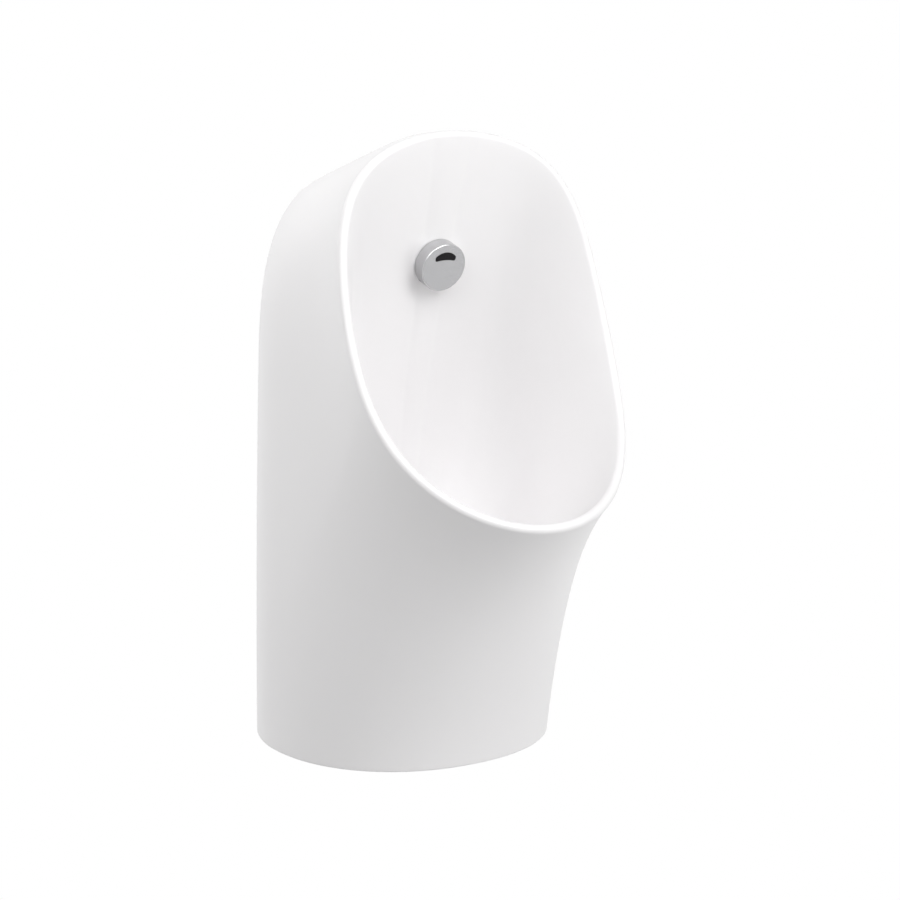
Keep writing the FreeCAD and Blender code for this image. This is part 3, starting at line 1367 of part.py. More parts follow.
def valve_cable():
    start = place(FEED_X - PLUG_HALF, VALVE_LEAD_D, deck_z() + BONNET + PLUG_FROM + PLUG_HIGH / 2)
    end = place(BOX_RIGHT - BOX_WALL - BOARD_MARGIN - PLUG_PIN, VALVE_LEAD_D, VALVE_LEAD_Z)
    bend = place(VALVE_LEAD_X, VALVE_LEAD_D, VALVE_LEAD_Z)
    points = [start, start - RIGHT * VALVE_LEAD_RUN, bend, end]
    return swept(bent_path(points), LEAD_R, points[0], points[1])


def box_screws():
    screws = []
    front = PLATE + EAR_THICK
    for x in EAR_X:
        foot = place(x, 0, BOX_HIGH + EAR / 2)
        head = rod(foot, FORWARD, BOX_SCREW_HEAD_R, front, front + BOX_SCREW_HEAD)
        screw = fused(head, rod(foot, FORWARD, BOX_SCREW_R, front - BOX_SCREW_DEEP, front + 1))
        screws.append(screw.cut(rod(foot, FORWARD, BOX_SCREW_R / 2, front + 1, front + 9)))
    return Part.Compound(screws)


# ====================================================================== waste
DRAIN = place(0, DRAIN_D, 0)
BACK = FORWARD * -1


def flange_z():
    return RECESS_Z + WASTE_SEAL


def strainer_z():
    return flange_z() + WASTE_FLANGE


def waste_seal():
    return ring(DRAIN, UP, WASTE_FLANGE_R, DRAIN_R, RECESS_Z, flange_z())


def waste_end():
    return LEDGE_Z + DIP_FLANGE + SEAT


def waste_fitting():
    body = fused(rod(DRAIN, UP, WASTE_FLANGE_R, flange_z(), strainer_z()),
                 rod(DRAIN, UP, WASTE_R, waste_end(), strainer_z()))
    return body.cut(rod(DRAIN, UP, WASTE_BORE, waste_end() - 1, strainer_z() + 1))


def waste_washer():
    return ring(DRAIN, UP, WASTE_WASHER_R, WASTE_R + THREAD, DRAIN_BOSS_Z - WASTE_WASHER, DRAIN_BOSS_Z)


def waste_backnut():
    top = DRAIN_BOSS_Z - WASTE_WASHER
    return hexagon(DRAIN, UP, WASTE_NUT_FLATS, WASTE_R + THREAD, top - WASTE_NUT, top)


def drain_strainer():
    low = strainer_z()
    body = fused(rod(DRAIN, UP, STRAINER_R, low, low + STRAINER),
                 ring(DRAIN, UP, STRAINER_SKIRT_R, STRAINER_SKIRT_R - STRAINER_WALL,
                      low - STRAINER_SKIRT, low + 1))
    holes = [rod(DRAIN, UP, STRAINER_HOLE, low - 1, low + STRAINER + 1)]
    rings = int((STRAINER_SKIRT_R - STRAINER_WALL - STRAINER_HOLE) / STRAINER_PITCH)
    for radius in [STRAINER_PITCH * (k + 1) for k in range(rings)]:
        count = int(2 * pi * radius / STRAINER_PITCH)
        for k in range(count):
            turn = 2 * pi * k / count
            spot = place(radius * sin(turn), DRAIN_D + radius * cos(turn), 0)
            holes.append(rod(spot, UP, STRAINER_HOLE, low - 1, low + STRAINER + 1))
    return body.cut(holes)


def drum_profile():
    return [(DRUM_FOOT, DRUM_R), (DRUM_FOOT, DRUM_R - TRAP_WALL), (DRUM_TOP - TRAP_WALL, DRUM_R - TRAP_WALL),
            (DRUM_TOP - TRAP_WALL, DIP_R + THREAD), (LEDGE_Z, DIP_R + THREAD), (LEDGE_Z, WASTE_R + SEAT),
            (NECK_TOP, WASTE_R + SEAT), (NECK_TOP, NECK_R), (DRUM_TOP, NECK_R), (DRUM_TOP, DRUM_R)]


def trap_body():
    drum = turned(DRAIN, UP, drum_profile())
    heart = place(0, DRAIN_D, BRANCH_Z)
    branch = rod(heart, BACK, BRANCH_R, 0, BRANCH_REACH)
    branch = branch.cut(rod(DRAIN, UP, DRUM_R - TRAP_WALL, 0, NECK_TOP))
    body = fused(drum, branch)
    return body.cut([rod(heart, BACK, PIPE_BORE, 0, BRANCH_REACH + 1),
                     rod(heart, BACK, PIPE_R + THREAD, BRANCH_REACH - PIPE_INSERT, BRANCH_REACH + 1)])


def dip_pipe():
    return fused(ring(DRAIN, UP, DIP_R, DIP_BORE, DIP_END, LEDGE_Z + DIP_FLANGE),
                 ring(DRAIN, UP, DIP_FLANGE_R, DIP_BORE, LEDGE_Z, LEDGE_Z + DIP_FLANGE))


def slip_joint_nut(origin, axis, neck, pipe):
    """Ribbed round nut over a neck and a pipe."""
    outer = neck + SLIP_NUT_WALL
    body = rod(origin, axis, outer, -SLIP_GRIP, SLIP_SEAL + SLIP_WALL)
    body = body.cut([rod(origin, axis, neck + THREAD, -SLIP_GRIP - 1, SLIP_SEAL),
                     rod(origin, axis, pipe + SEAT, 0, SLIP_SEAL + SLIP_WALL + 1)])
    side = FreeCAD.Vector(1, 0, 0)
    ribs = []
    for k in range(12):
        ray = FreeCAD.Rotation(axis, 30.0 * k).multVec(side)
        ribs.append(rod(origin + ray * outer, axis, 1.6, -SLIP_GRIP - 1, SLIP_SEAL + SLIP_WALL - 2))
    return body.cut(ribs)


def slip_joint_seal(origin, axis, neck, pipe):
    return ring(origin, axis, neck, pipe, 0, SLIP_SEAL)


def neck_point():
    return DRAIN + UP * NECK_TOP


def branch_point():
    return place(0, DRAIN_D - BRANCH_REACH, BRANCH_Z)


def slip_nut():
    return slip_joint_nut(neck_point(), UP, NECK_R, WASTE_R)


def slip_seal():
    return slip_joint_seal(neck_point(), UP, NECK_R, WASTE_R)


def outlet_nut():
    return slip_joint_nut(branch_point(), BACK, BRANCH_R, PIPE_R)


def outlet_seal():
    return slip_joint_seal(branch_point(), BACK, BRANCH_R, PIPE_R)


def outlet_pipe():
    front = DRAIN_D - BRANCH_REACH + PIPE_INSERT
    wall = place(0, 0, BRANCH_Z)
    return fused(ring(wall, FORWARD, PIPE_R, PIPE_BORE, -PIPE_SPIGOT, front),
                 ring(wall, FORWARD, PIPE_BEAD_R, PIPE_BORE, 0, PIPE_BEAD))


def trap_cup():
    ledge = DRUM_FOOT - CUP_SEAL
    body = rod(DRAIN, UP, CUP_R, CUP_FOOT, CUP_TOP)
    edge = [edge for edge in body.Edges if edge.BoundBox.ZMax < CUP_FOOT + 0.01 - FRAME_Z]
    body = body.makeFillet(CUP_EDGE, edge)
    return body.cut([rod(DRAIN, UP, CUP_BORE, CUP_FOOT + CUP_FLOOR, ledge + 1),
                     rod(DRAIN, UP, DRUM_R + SEAT, ledge, CUP_TOP + 1)])


def cup_seal():
    return ring(DRAIN, UP, DRUM_R, CUP_BORE, DRUM_FOOT - CUP_SEAL, DRUM_FOOT)


# ====================================================================== build
NODES = (ceramic_body, front_gasket, spreader_cap, sensor_lens, cap_grub_screw, spreader_core,
         sensor_housing, sensor_board, rear_washer, spreader_backnut, inlet_tee, cable_gland,
         sensor_cable, mounting_plate, hanger_hooks, hook_rivets, hook_pads, stop_valve_body,
         stop_bonnet, stop_ball, stop_stem, stop_handle, handle_screw, union_nut, flat_seals,
         inlet_filter, valve_block, diaphragm, valve_bonnet, valve_screws, core_tube, plunger,
         plunger_spring, solenoid_coil, coil_nut, flush_hose, hose_nuts, control_box, battery_door,
         door_pin, batteries, battery_contacts, door_contacts, control_board, valve_cable,
         box_screws, drain_strainer, waste_fitting, waste_seal, waste_washer, waste_backnut,
         trap_body, dip_pipe, slip_nut, slip_seal, trap_cup, cup_seal, outlet_pipe, outlet_nut,
         outlet_seal)


def main():
    os.makedirs("parts", exist_ok=True)
    for make in NODES:
        shape = make()
        name = make.__name__
        if not shape.isValid() or shape.Volume <= 0:
            print("check", name, shape.isValid(), shape.Volume)
        shape.exportStep("parts/" + name + ".step")
    print("seat", SEAT_POINT, CAP_AXIS)
    print("arm", arm_top(), "leg", leg_end(), "deck", deck_z(), "pole", pole_z())


main()
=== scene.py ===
import bpy
import bmesh
import json
import math
import numpy as np
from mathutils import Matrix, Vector


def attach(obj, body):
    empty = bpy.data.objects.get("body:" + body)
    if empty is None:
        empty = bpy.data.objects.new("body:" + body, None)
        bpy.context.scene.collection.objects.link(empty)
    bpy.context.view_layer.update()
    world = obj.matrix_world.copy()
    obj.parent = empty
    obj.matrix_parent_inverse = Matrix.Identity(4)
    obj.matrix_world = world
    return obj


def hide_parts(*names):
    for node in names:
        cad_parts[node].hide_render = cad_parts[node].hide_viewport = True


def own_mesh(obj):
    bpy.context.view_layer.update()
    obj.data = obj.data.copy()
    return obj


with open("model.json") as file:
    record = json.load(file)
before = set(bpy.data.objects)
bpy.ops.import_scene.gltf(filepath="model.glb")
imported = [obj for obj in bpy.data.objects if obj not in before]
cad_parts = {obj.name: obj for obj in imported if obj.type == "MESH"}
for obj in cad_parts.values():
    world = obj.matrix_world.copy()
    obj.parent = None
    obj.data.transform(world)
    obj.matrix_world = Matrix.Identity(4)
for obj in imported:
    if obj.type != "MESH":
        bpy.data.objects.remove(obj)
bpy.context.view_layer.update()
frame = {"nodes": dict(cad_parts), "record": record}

NODES = frame["nodes"]
ROOT = "urinal"
FRAME_Z = 344.0             # height of the frame's origin above the ceramic's foot, mm

# ------------------------------------------------------------------ ceramic, in mm
HALF_WIDTH, TAPER, TAPER_GROWTH = 150.0, 0.9, 0.4
MID_DEPTH, REAR_REACH, FOOT_DEPTH = 68.0, 143.0, 216.0
SKIRT_RISE, SKIRT_FLARE, SKIRT_EASE = 26.0, 9.7, 2.4
FRONT_POWER, ARCH_POWER = 2.15, 3.0
ARCH_TOP, ARCH_SPRING = 570.3, 378.0
CROWN_RISE, CROWN_GROWTH = 27.8, 3.0
RIM_TOP_Z, RIM_TOP_D, LIP_Z, LIP_D = 620.0, 166.4, 260.7, 350.0
RIM_HALF_WIDTH, RIM_SAG, RIM_SAG_LOW, RIM_SAG_ROUND = 148.5, 50.4, 0.51, 0.24
RIM_EGG, RIM_FULL, RIM_SHOULDER = 0.03, 0.15, 0.035
FLARE_POWER, CORNER_TURN, ARCH_SHARE = 5, 1.9, 0.55
RIM_BEAD, WALL, FLANGE = 5.0, 9.0, 10.0
BOWL_ANGLE = (0.93, 0.60, -0.10)
RIM_HANDLE = (0.245, 0.30, 0.28)
DRAIN_HANDLE = (0.268, 0.36, 0.22)
SUMP_SLOPE, DRAIN_D, SUMP_Z, BOWL_MOUTH = 0.16, 155.0, 174.0, 20.0
HOLLOW_SKIN = (0.86, 0.80, 0.74)
HOLLOW_BOWL = (0.14, 0.22, 0.38)
RECESS_R, RECESS_Z, DRAIN_R = 33.5, 170.0, 23.0
DRAIN_BOSS_R, DRAIN_BOSS_Z = 38.0, 157.0
FOOT_ROUND = 2.5            # rounding of the glazed edge at wall and foot
RECESS_ROUND, DRAIN_ROUND, BOSS_ROUND = 1.2, 0.6, 1.0
CAP_Z, CAP_SPOT_R, CAP_SPOT_BLEND = 491.0, 25.5, 7.0
CAP_SPOT_REACH = 12.0       # the flattening stops this far above or below the seat
LOW_SHARE = 0.03            # where the hidden wall ends, as a share of the skin's height
WEB_FRONT, WEB_BACK, WEB_FOOT = 24.0, 12.0, 481.0
SLOT_INNER, SLOT_OUTER, SLOT_LOW, SLOT_HIGH = 38.0, 78.0, 489.0, 520.0
SPOUT_HOLE, SEAT_BOSS_R, SEAT_BOSS_ROUND, SEAT_CORE_R = 11.4, 30.0, 0.8, 20.0
SEAT_BOSS_BACK, SEAT_BOSS_FRONT, SPOUT_HOLE_FRONT = -14.0, -4.0, -6.0

# how finely the ceramic's grid is drawn
ARCH_COLUMNS, FOOT_COLUMNS = 100, 56
SKIN_ROWS, BEAD_ROWS, BOWL_ROWS, HIDDEN_ROWS, FOOT_ROWS = 76, 15, 96, 30, 6
BOWL_CROWDING = 1.05        # sets the bowl's rows a little closer at the rim
WEB_POINTS, SEAT_LINE_POINTS = 80, 4001
HULL_HALVINGS, RADIUS_HALVINGS = 40, 30


def rows(x, d, z):
    """Points from side, depth and height, each a number or an array."""
    return np.stack(np.broadcast_arrays(x, d, z), axis=-1).astype(float)


def unit(v):
    """Each vector divided by its length."""
    return v / np.linalg.norm(v, axis=-1, keepdims=True)


def to_frame(p):
    """Side, depth and height in mm become the frame's metres."""
    return np.stack([p[..., 0], -p[..., 1], p[..., 2] - FRAME_Z], axis=-1) / 1000.0


def eased(angle, top, side, lip):
    """Value round the rim: top at 0, side at a quarter turn, lip at a half turn."""
    end = np.where(np.cos(angle) > 0, top, lip)
    return end * np.cos(angle) ** 2 + side * np.sin(angle) ** 2


def half_width(z):
    """The width falls with the height and with its square."""
    return HALF_WIDTH - TAPER * z / 100 - TAPER_GROWTH * (z / 100) ** 2


def front_depth(z):
    """The front is a cubic in the height."""
    rise = np.clip(z, 0, RIM_TOP_Z) / 100
    return FOOT_DEPTH + SKIRT_RISE * rise + SKIRT_FLARE * rise ** 2 - SKIRT_EASE * rise ** 3


def crown_height(d):
    """The arch's top rises with the depth and with its square."""
    return ARCH_TOP + CROWN_RISE * d / 100 + CROWN_GROWTH * (d / 100) ** 2


def outside(p):
    """Superellipse in plan, narrowed above the spring line by a superellipse arch."""
    x, d, z = p[..., 0], p[..., 1], p[..., 2]
    rear = d < MID_DEPTH
    reach = np.where(rear, REAR_REACH, front_depth(z) - MID_DEPTH)
    power = np.where(rear, 2.0, FRONT_POWER)
    plan = np.maximum(1 - (np.abs(d - MID_DEPTH) / reach) ** power, 0)
    climb = np.clip((z - ARCH_SPRING) / (crown_height(d) - ARCH_SPRING), 0, 1)
    arch = np.maximum(1 - climb ** ARCH_POWER, 0)
    return (np.abs(x) / half_width(z)) ** power >= plan * arch ** (power / ARCH_POWER)


def on_hull(p):
    """Halving along the ray from the body's inner axis through each point."""
    foot = rows(0 * p[..., 0], MID_DEPTH, np.minimum(p[..., 2], ARCH_SPRING))
    ray = p - foot
    low = np.full(p.shape[:-1], 0.2)
    high = np.full(p.shape[:-1], 3.0)
    for _ in range(HULL_HALVINGS):
        middle = (low + high) / 2
        out = outside(foot + ray * middle[..., None])
        high = np.where(out, middle, high)
        low = np.where(out, low, middle)
    return foot + ray * low[..., None]


def rim_point(angle):
    """An oval with full shoulders from the front; from the side it sags from its chord."""
    fall = (1 - np.cos(angle)) / 2
    bow = 4 * fall * (1 - fall)
    sag = RIM_SAG * bow * (1 + RIM_SAG_LOW * (2 * fall - 1) - RIM_SAG_ROUND * (bow - 0.5))
    full = np.cos(2 * angle) + 1
    oval = 1 - RIM_EGG * np.cos(angle) + RIM_FULL * full + RIM_SHOULDER * np.cos(angle) * full
    depth = RIM_TOP_D + (LIP_D - RIM_TOP_D) * fall - sag
    height = RIM_TOP_Z - (RIM_TOP_Z - LIP_Z) * fall
    return rows(-RIM_HALF_WIDTH * np.sin(angle) * oval, depth, height)


def foot_point(angle, inset=0.0):
    """Arch with straight sides on the wall, half ellipse on the foot, offset by the inset."""
    flip = np.where((angle < 0) | (angle > math.pi), -1.0, 1.0)
    turn = np.abs(np.where(angle > math.pi, 2 * math.pi - angle, angle))
    side = math.sqrt(1 - (MID_DEPTH / REAR_REACH) ** 2)
    share = np.minimum(turn / CORNER_TURN, 1)
    swing = np.minimum(share / ARCH_SHARE, 1) * math.pi / 2
    climb = np.maximum(np.cos(swing), 0) ** (2 / ARCH_POWER)
    arch_z = ARCH_SPRING + (ARCH_TOP - inset - ARCH_SPRING) * climb
    z = np.where(share > ARCH_SHARE, ARCH_SPRING * (1 - (share - ARCH_SHARE) / (1 - ARCH_SHARE)), arch_z)
    x = -(half_width(z) * side - inset) * np.sin(swing) ** (2 / ARCH_POWER)
    wall = rows(x, 0, z)
    last = math.acos(-MID_DEPTH / REAR_REACH)
    plan = last * np.clip((math.pi - turn) / (math.pi - CORNER_TURN), 0, 1)
    rear = plan > math.pi / 2
    reach = np.where(rear, REAR_REACH, FOOT_DEPTH - MID_DEPTH)
    power = np.where(rear, 2.0, FRONT_POWER)
    along = np.abs(np.cos(plan)) ** (2 / power) * np.where(rear, -1, 1)
    x = -HALF_WIDTH * np.maximum(np.sin(plan), 0) ** (2 / power)
    ground = rows(x, MID_DEPTH + reach * along, 0)
    if inset:
        slope = unit(rows(-x / HALF_WIDTH ** 2, -(ground[..., 1] - MID_DEPTH) / reach ** 2, 0))
        corner = np.array([inset - HALF_WIDTH * side, 0, 0])
        fade = np.clip((turn - CORNER_TURN) / (math.pi - CORNER_TURN) * 6, 0, 1)[..., None]
        ground = corner + (ground + slope * inset - corner) * fade
    p = np.where((turn <= CORNER_TURN)[..., None], wall, ground)
    p[..., 0] *= flip
    return p


def skin(angle, share):
    """Straight fan from foot to rim laid on the hull, flared late towards the rim."""
    angle, share = np.broadcast_arrays(angle, share)
    rim, foot = rim_point(angle), foot_point(angle)
    on = on_hull(foot + (rim - foot) * share[..., None])
    on = on + (rim - on_hull(rim)) * (share ** FLARE_POWER)[..., None]
    return np.where((share <= 0)[..., None], foot, on)


def rim_frame(angle):
    """Outward and raised directions at the rim, and the centre and lean of its bead."""
    step = 1e-4
    along = unit(rim_point(angle + step) - rim_point(angle - step))
    top, lip = rim_point(np.array(0.0)), rim_point(np.array(math.pi))
    chord = unit(lip - top)
    square = np.array([0, -chord[2], chord[1]])
    outward = unit(np.cross(square, along))
    raised = unit(np.cross(along, outward))
    raised *= np.sign((raised * square).sum(-1, keepdims=True))
    rim = rim_point(angle)
    outward *= np.sign((outward * (rim - (top + lip) / 2)).sum(-1, keepdims=True))
    heading = unit(skin(angle, np.array(1.0)) - skin(angle, np.array(0.999)))
    lean = np.arctan2((heading * outward).sum(-1), (heading * raised).sum(-1))
    swing = lean[..., None]
    centre = rim - (outward * np.cos(swing) - raised * np.sin(swing)) * RIM_BEAD
    return outward, raised, centre, lean


def bead(angle, turn):
    """Circle of the bead's radius about its centre."""
    outward, raised, centre, _ = rim_frame(angle)
    return centre + (outward * np.cos(turn)[..., None] + raised * np.sin(turn)[..., None]) * RIM_BEAD


def bowl(angle, share):
    """Cubic Bezier curve from the bead to the drain's mouth."""
    angle, share = np.broadcast_arrays(angle, share)
    outward, raised, centre, _ = rim_frame(angle)
    leave = eased(angle, *BOWL_ANGLE)[..., None]
    start = centre + (outward * np.cos(math.pi - leave) + raised * np.sin(math.pi - leave)) * RIM_BEAD
    heading = -(outward * np.sin(leave) + raised * np.cos(leave))
    radial = rows(-np.sin(angle), -np.cos(angle), 0)
    mouth = np.array([0, DRAIN_D, SUMP_Z]) + radial * BOWL_MOUTH
    chord = np.linalg.norm(mouth - start, axis=-1, keepdims=True)
    first = start + heading * eased(angle, *RIM_HANDLE)[..., None] * chord
    slope = radial * math.cos(SUMP_SLOPE) + np.array([0, 0, math.sin(SUMP_SLOPE)])
    second = mouth + slope * eased(angle, *DRAIN_HANDLE)[..., None] * chord
    s = share[..., None]
    t = 1 - s
    return start * t ** 3 + 3 * first * s * t ** 2 + 3 * second * s * s * t + mouth * s ** 3


def behind(surface, angle, share, depth):
    """Point behind a surface along its normal, from central differences."""
    step = 1e-3
    across = surface(angle + step, share) - surface(angle - step, share)
    along = surface(angle, np.minimum(share + step, 1)) - surface(angle, share - step)
    return surface(angle, share) + unit(np.cross(across, along)) * depth


def share_at_radius(angle, radius):
    """Share of the bowl's curve where it comes within a radius of the drain's axis."""
    low, high = np.full(angle.shape, 0.5), np.ones(angle.shape)
    for _ in range(RADIUS_HALVINGS):
        middle = (low + high) / 2
        p = bowl(angle, middle)
        near = np.hypot(p[..., 0], p[..., 1] - DRAIN_D) < radius
        high = np.where(near, middle, high)
        low = np.where(near, low, middle)
    return low


def cap_frame():
    """Seat of the cap on the bowl, its axis and its upward direction."""
    shares = np.linspace(0, 1, SEAT_LINE_POINTS)
    line = bowl(np.zeros(SEAT_LINE_POINTS), shares)
    k = int(np.argmin(np.abs(line[:, 2] - CAP_Z)))
    fall = unit(line[k + 2] - line[k - 2])
    return line[k], np.array([0, -fall[2], fall[1]]), -fall


SEAT, AXIS, AXIS_UP = cap_frame()


def flatten_seat(p):
    """Presses the bowl flat under the cap: the height above the seat's plane fades to nothing."""
    off = p - SEAT
    height = off @ AXIS
    radius = np.linalg.norm(off - height[..., None] * AXIS, axis=-1)
    fade = np.clip((radius - CAP_SPOT_R) / CAP_SPOT_BLEND, 0, 1)
    weight = (1 - fade * fade * (3 - 2 * fade)) * (np.abs(height) < CAP_SPOT_REACH)
    return p - AXIS * (height * weight)[..., None]


def ceramic_grid():
    """Rows round the whole section: skin, bead, bowl, drain, underside, hollow, foot."""
    upper = np.linspace(0, CORNER_TURN, ARCH_COLUMNS)
    lower = np.linspace(CORNER_TURN, math.pi, FOOT_COLUMNS)
    angle = np.concatenate([upper, lower[1:]])
    a = angle[:, None]
    length = np.linalg.norm(rim_point(angle) - foot_point(angle), axis=-1)[:, None]
    start = FOOT_ROUND / length
    t = start + (1 - start) * np.linspace(0, 1, SKIN_ROWS)[None, :]
    out = [skin(a, t)]
    lean = rim_frame(a)[3]
    leave = eased(a, *BOWL_ANGLE)
    swing = -lean + (math.pi - leave + lean) * np.linspace(0, 1, BEAD_ROWS)[None, 1:-1]
    out.append(bead(a, swing))
    last = share_at_radius(angle, RECESS_R + RECESS_ROUND)[:, None]
    out.append(flatten_seat(bowl(a, last * np.linspace(0, 1, BOWL_ROWS)[None, :] ** BOWL_CROWDING)))
    edge = bowl(angle, share_at_radius(angle, RECESS_R))
    radial = rows(-np.sin(angle), -np.cos(angle), 0)
    centre = np.array([0, DRAIN_D, 0])

    def around(radius, z):
        """One column of points at a radius about the drain's axis and a height."""
        return (centre + radial * radius + rows(0 * angle, 0, z))[:, None]

    drain = [(RECESS_R + 0.3, edge[:, 2] - 0.5), (RECESS_R, edge[:, 2] - 1.5),
             (RECESS_R, RECESS_Z + DRAIN_ROUND), (RECESS_R - DRAIN_ROUND, RECESS_Z),
             (DRAIN_R + DRAIN_ROUND, RECESS_Z), (DRAIN_R, RECESS_Z - DRAIN_ROUND),
             (DRAIN_R, DRAIN_BOSS_Z), (DRAIN_BOSS_R - BOSS_ROUND, DRAIN_BOSS_Z),
             (DRAIN_BOSS_R, DRAIN_BOSS_Z + BOSS_ROUND)]
    out += [around(radius, z) for radius, z in drain]
    near = share_at_radius(angle, DRAIN_BOSS_R + 1.5)[:, None]
    first = eased(a, *HOLLOW_BOWL)
    s = near + (first - near) * np.linspace(0, 1, HIDDEN_ROWS)[None, :]
    out.append(behind(bowl, a, s, WALL))
    last = eased(a, *HOLLOW_SKIN)
    s = last + (LOW_SHARE - last) * np.linspace(0, 1, HIDDEN_ROWS)[None, :]
    out.append(behind(skin, a, s, WALL))
    out.append(foot_point(angle, FLANGE - 1)[:, None])
    corner, flat = foot_point(angle), foot_point(angle, FOOT_ROUND)
    first = out[0][:, 0]
    for k in range(FOOT_ROWS):
        w = k / FOOT_ROWS
        out.append((flat * (1 - w) ** 2 + 2 * corner * w * (1 - w) + first * w * w)[:, None])
    half = np.concatenate(out, axis=1)
    other = half[1:-1][::-1] * np.array([-1, 1, 1])
    return np.concatenate([half, other], axis=0)


def mesh_object(name, verts, faces):
    """Smooth shaded mesh from points and faces, linked into the scene."""
    mesh = bpy.data.meshes.new(name)
    mesh.from_pydata(np.asarray(verts).reshape(-1, 3).tolist(), [], faces)
    mesh.update()
    mesh.shade_smooth()
    piece = bpy.data.objects.new(name, mesh)
    bpy.context.scene.collection.objects.link(piece)
    return piece


def grid_object(name, grid):
    """Quads over a grid of points, closed both ways."""
    n, m = grid.shape[:2]
    i = np.arange(n)[:, None]
    j = np.arange(m)[None, :]
    a, b = i * m + j, ((i + 1) % n) * m + j
    c, d = ((i + 1) % n) * m + (j + 1) % m, i * m + (j + 1) % m
    quads = np.stack(np.broadcast_arrays(a, b, c, d), axis=-1).reshape(-1, 4)
    return mesh_object(name, to_frame(grid), quads.tolist())


def outward_normals(piece):
    """Merges doubled points and points every face outwards."""
    bm = bmesh.new()
    bm.from_mesh(piece.data)
    bmesh.ops.remove_doubles(bm, verts=bm.verts, dist=1e-6)
    bmesh.ops.recalc_face_normals(bm, faces=bm.faces)
    bm.to_mesh(piece.data)
    bm.free()


def lathe(name, profile, origin, axis, up, count=96):
    """Closed solid of revolution of a closed list of (station, radius)."""
    origin, axis, up = np.array(origin, float), np.array(axis, float), np.array(up, float)
    side = np.cross(axis, up)
    turn = np.arange(count) * 2 * math.pi / count
    ray = np.cos(turn)[:, None] * up + np.sin(turn)[:, None] * side
    station, radius = np.array(profile, float).T
    grid = origin + station[None, :, None] * axis + radius[None, :, None] * ray[:, None]
    return grid_object(name, grid)


def ceramic():
    """The glazed shell in one closed skin; the web and the cap's boss are set into it."""
    piece = grid_object("glazed_body", ceramic_grid())
    outward_normals(piece)
    piece.data.shade_smooth()
    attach(piece, ROOT)
    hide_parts("ceramic_body")
    return piece


def hanger_web():
    """The arch's outline in the middle of the wall, down to the web's foot, less two slots."""
    depth = (WEB_BACK + WEB_FRONT) / 2
    side = math.sqrt(1 - ((MID_DEPTH - depth) / REAR_REACH) ** 2)
    top = crown_height(depth) - WALL / 2
    swing = np.linspace(0, math.pi / 2, WEB_POINTS)
    z = ARCH_SPRING + (top - ARCH_SPRING) * np.maximum(np.cos(swing), 0) ** (2 / ARCH_POWER)
    x = (half_width(z) * side - WALL / 2) * np.sin(swing) ** (2 / ARCH_POWER)
    keep = z > WEB_FOOT
    half = list(zip(x[keep], z[keep]))
    half.append((half[-1][0], WEB_FOOT))
    loops = [[(-p, q) for p, q in reversed(half)] + half[1:]]
    for s in (-1, 1):
        loops.append([(s * SLOT_INNER, SLOT_LOW), (s * SLOT_OUTER, SLOT_LOW),
                      (s * SLOT_OUTER, SLOT_HIGH), (s * SLOT_INNER, SLOT_HIGH)])
    bm = bmesh.new()
    edges = []
    for loop in loops:
        verts = [bm.verts.new(to_frame(np.array([p, WEB_BACK, q]))) for p, q in loop]
        edges += [bm.edges.new((verts[k - 1], verts[k])) for k in range(len(verts))]
    bmesh.ops.triangle_fill(bm, use_beauty=True, edges=edges)
    made = bmesh.ops.extrude_face_region(bm, geom=list(bm.faces))
    moved = [v for v in made["geom"] if isinstance(v, bmesh.types.BMVert)]
    bmesh.ops.translate(bm, vec=Vector((0, -(WEB_FRONT - WEB_BACK) / 1000, 0)), verts=moved)
    bmesh.ops.recalc_face_normals(bm, faces=bm.faces)
    mesh = bpy.data.meshes.new("hanger_web")
    bm.to_mesh(mesh)
    bm.free()
    piece = bpy.data.objects.new("hanger_web", mesh)
    bpy.context.scene.collection.objects.link(piece)
    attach(piece, ROOT)
    return piece


def cap_boss():
    """Thickened seat behind the cap, turned about the cap's axis, with the spout's hole in it."""
    profile = [(SPOUT_HOLE_FRONT, SPOUT_HOLE), (SEAT_BOSS_BACK, SPOUT_HOLE),
               (SEAT_BOSS_BACK, SEAT_BOSS_R - SEAT_BOSS_ROUND),
               (SEAT_BOSS_BACK + SEAT_BOSS_ROUND, SEAT_BOSS_R),
               (SEAT_BOSS_FRONT, SEAT_BOSS_R), (SEAT_BOSS_FRONT, SEAT_CORE_R)]
    piece = lathe("cap_boss", profile, SEAT, AXIS, AXIS_UP)
    outward_normals(piece)
    piece.data.shade_flat()
    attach(piece, ROOT)
    return piece


def solenoid_spring():
    """A merged copy of the coil, whose upper end is fixed, set in place of the coil's node."""
    mesh = NODES["plunger_spring"].data.copy()
    piece = bpy.data.objects.new("solenoid_spring", mesh)
    bpy.context.scene.collection.objects.link(piece)
    outward_normals(piece)
    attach(piece, ROOT)
    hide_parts("plunger_spring")
    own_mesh(piece)
    return piece


# ---------------------------------------------------------------------- materials
def node_tree(name):
    """New material with its node tree and its Principled shader."""
    material = bpy.data.materials.new(name)
    material.use_nodes = True
    tree = material.node_tree
    shader = tree.nodes["Principled BSDF"]
    return material, tree, shader


def link(tree, source, target):
    """Joins an output socket to an input socket."""
    tree.links.new(source, target)


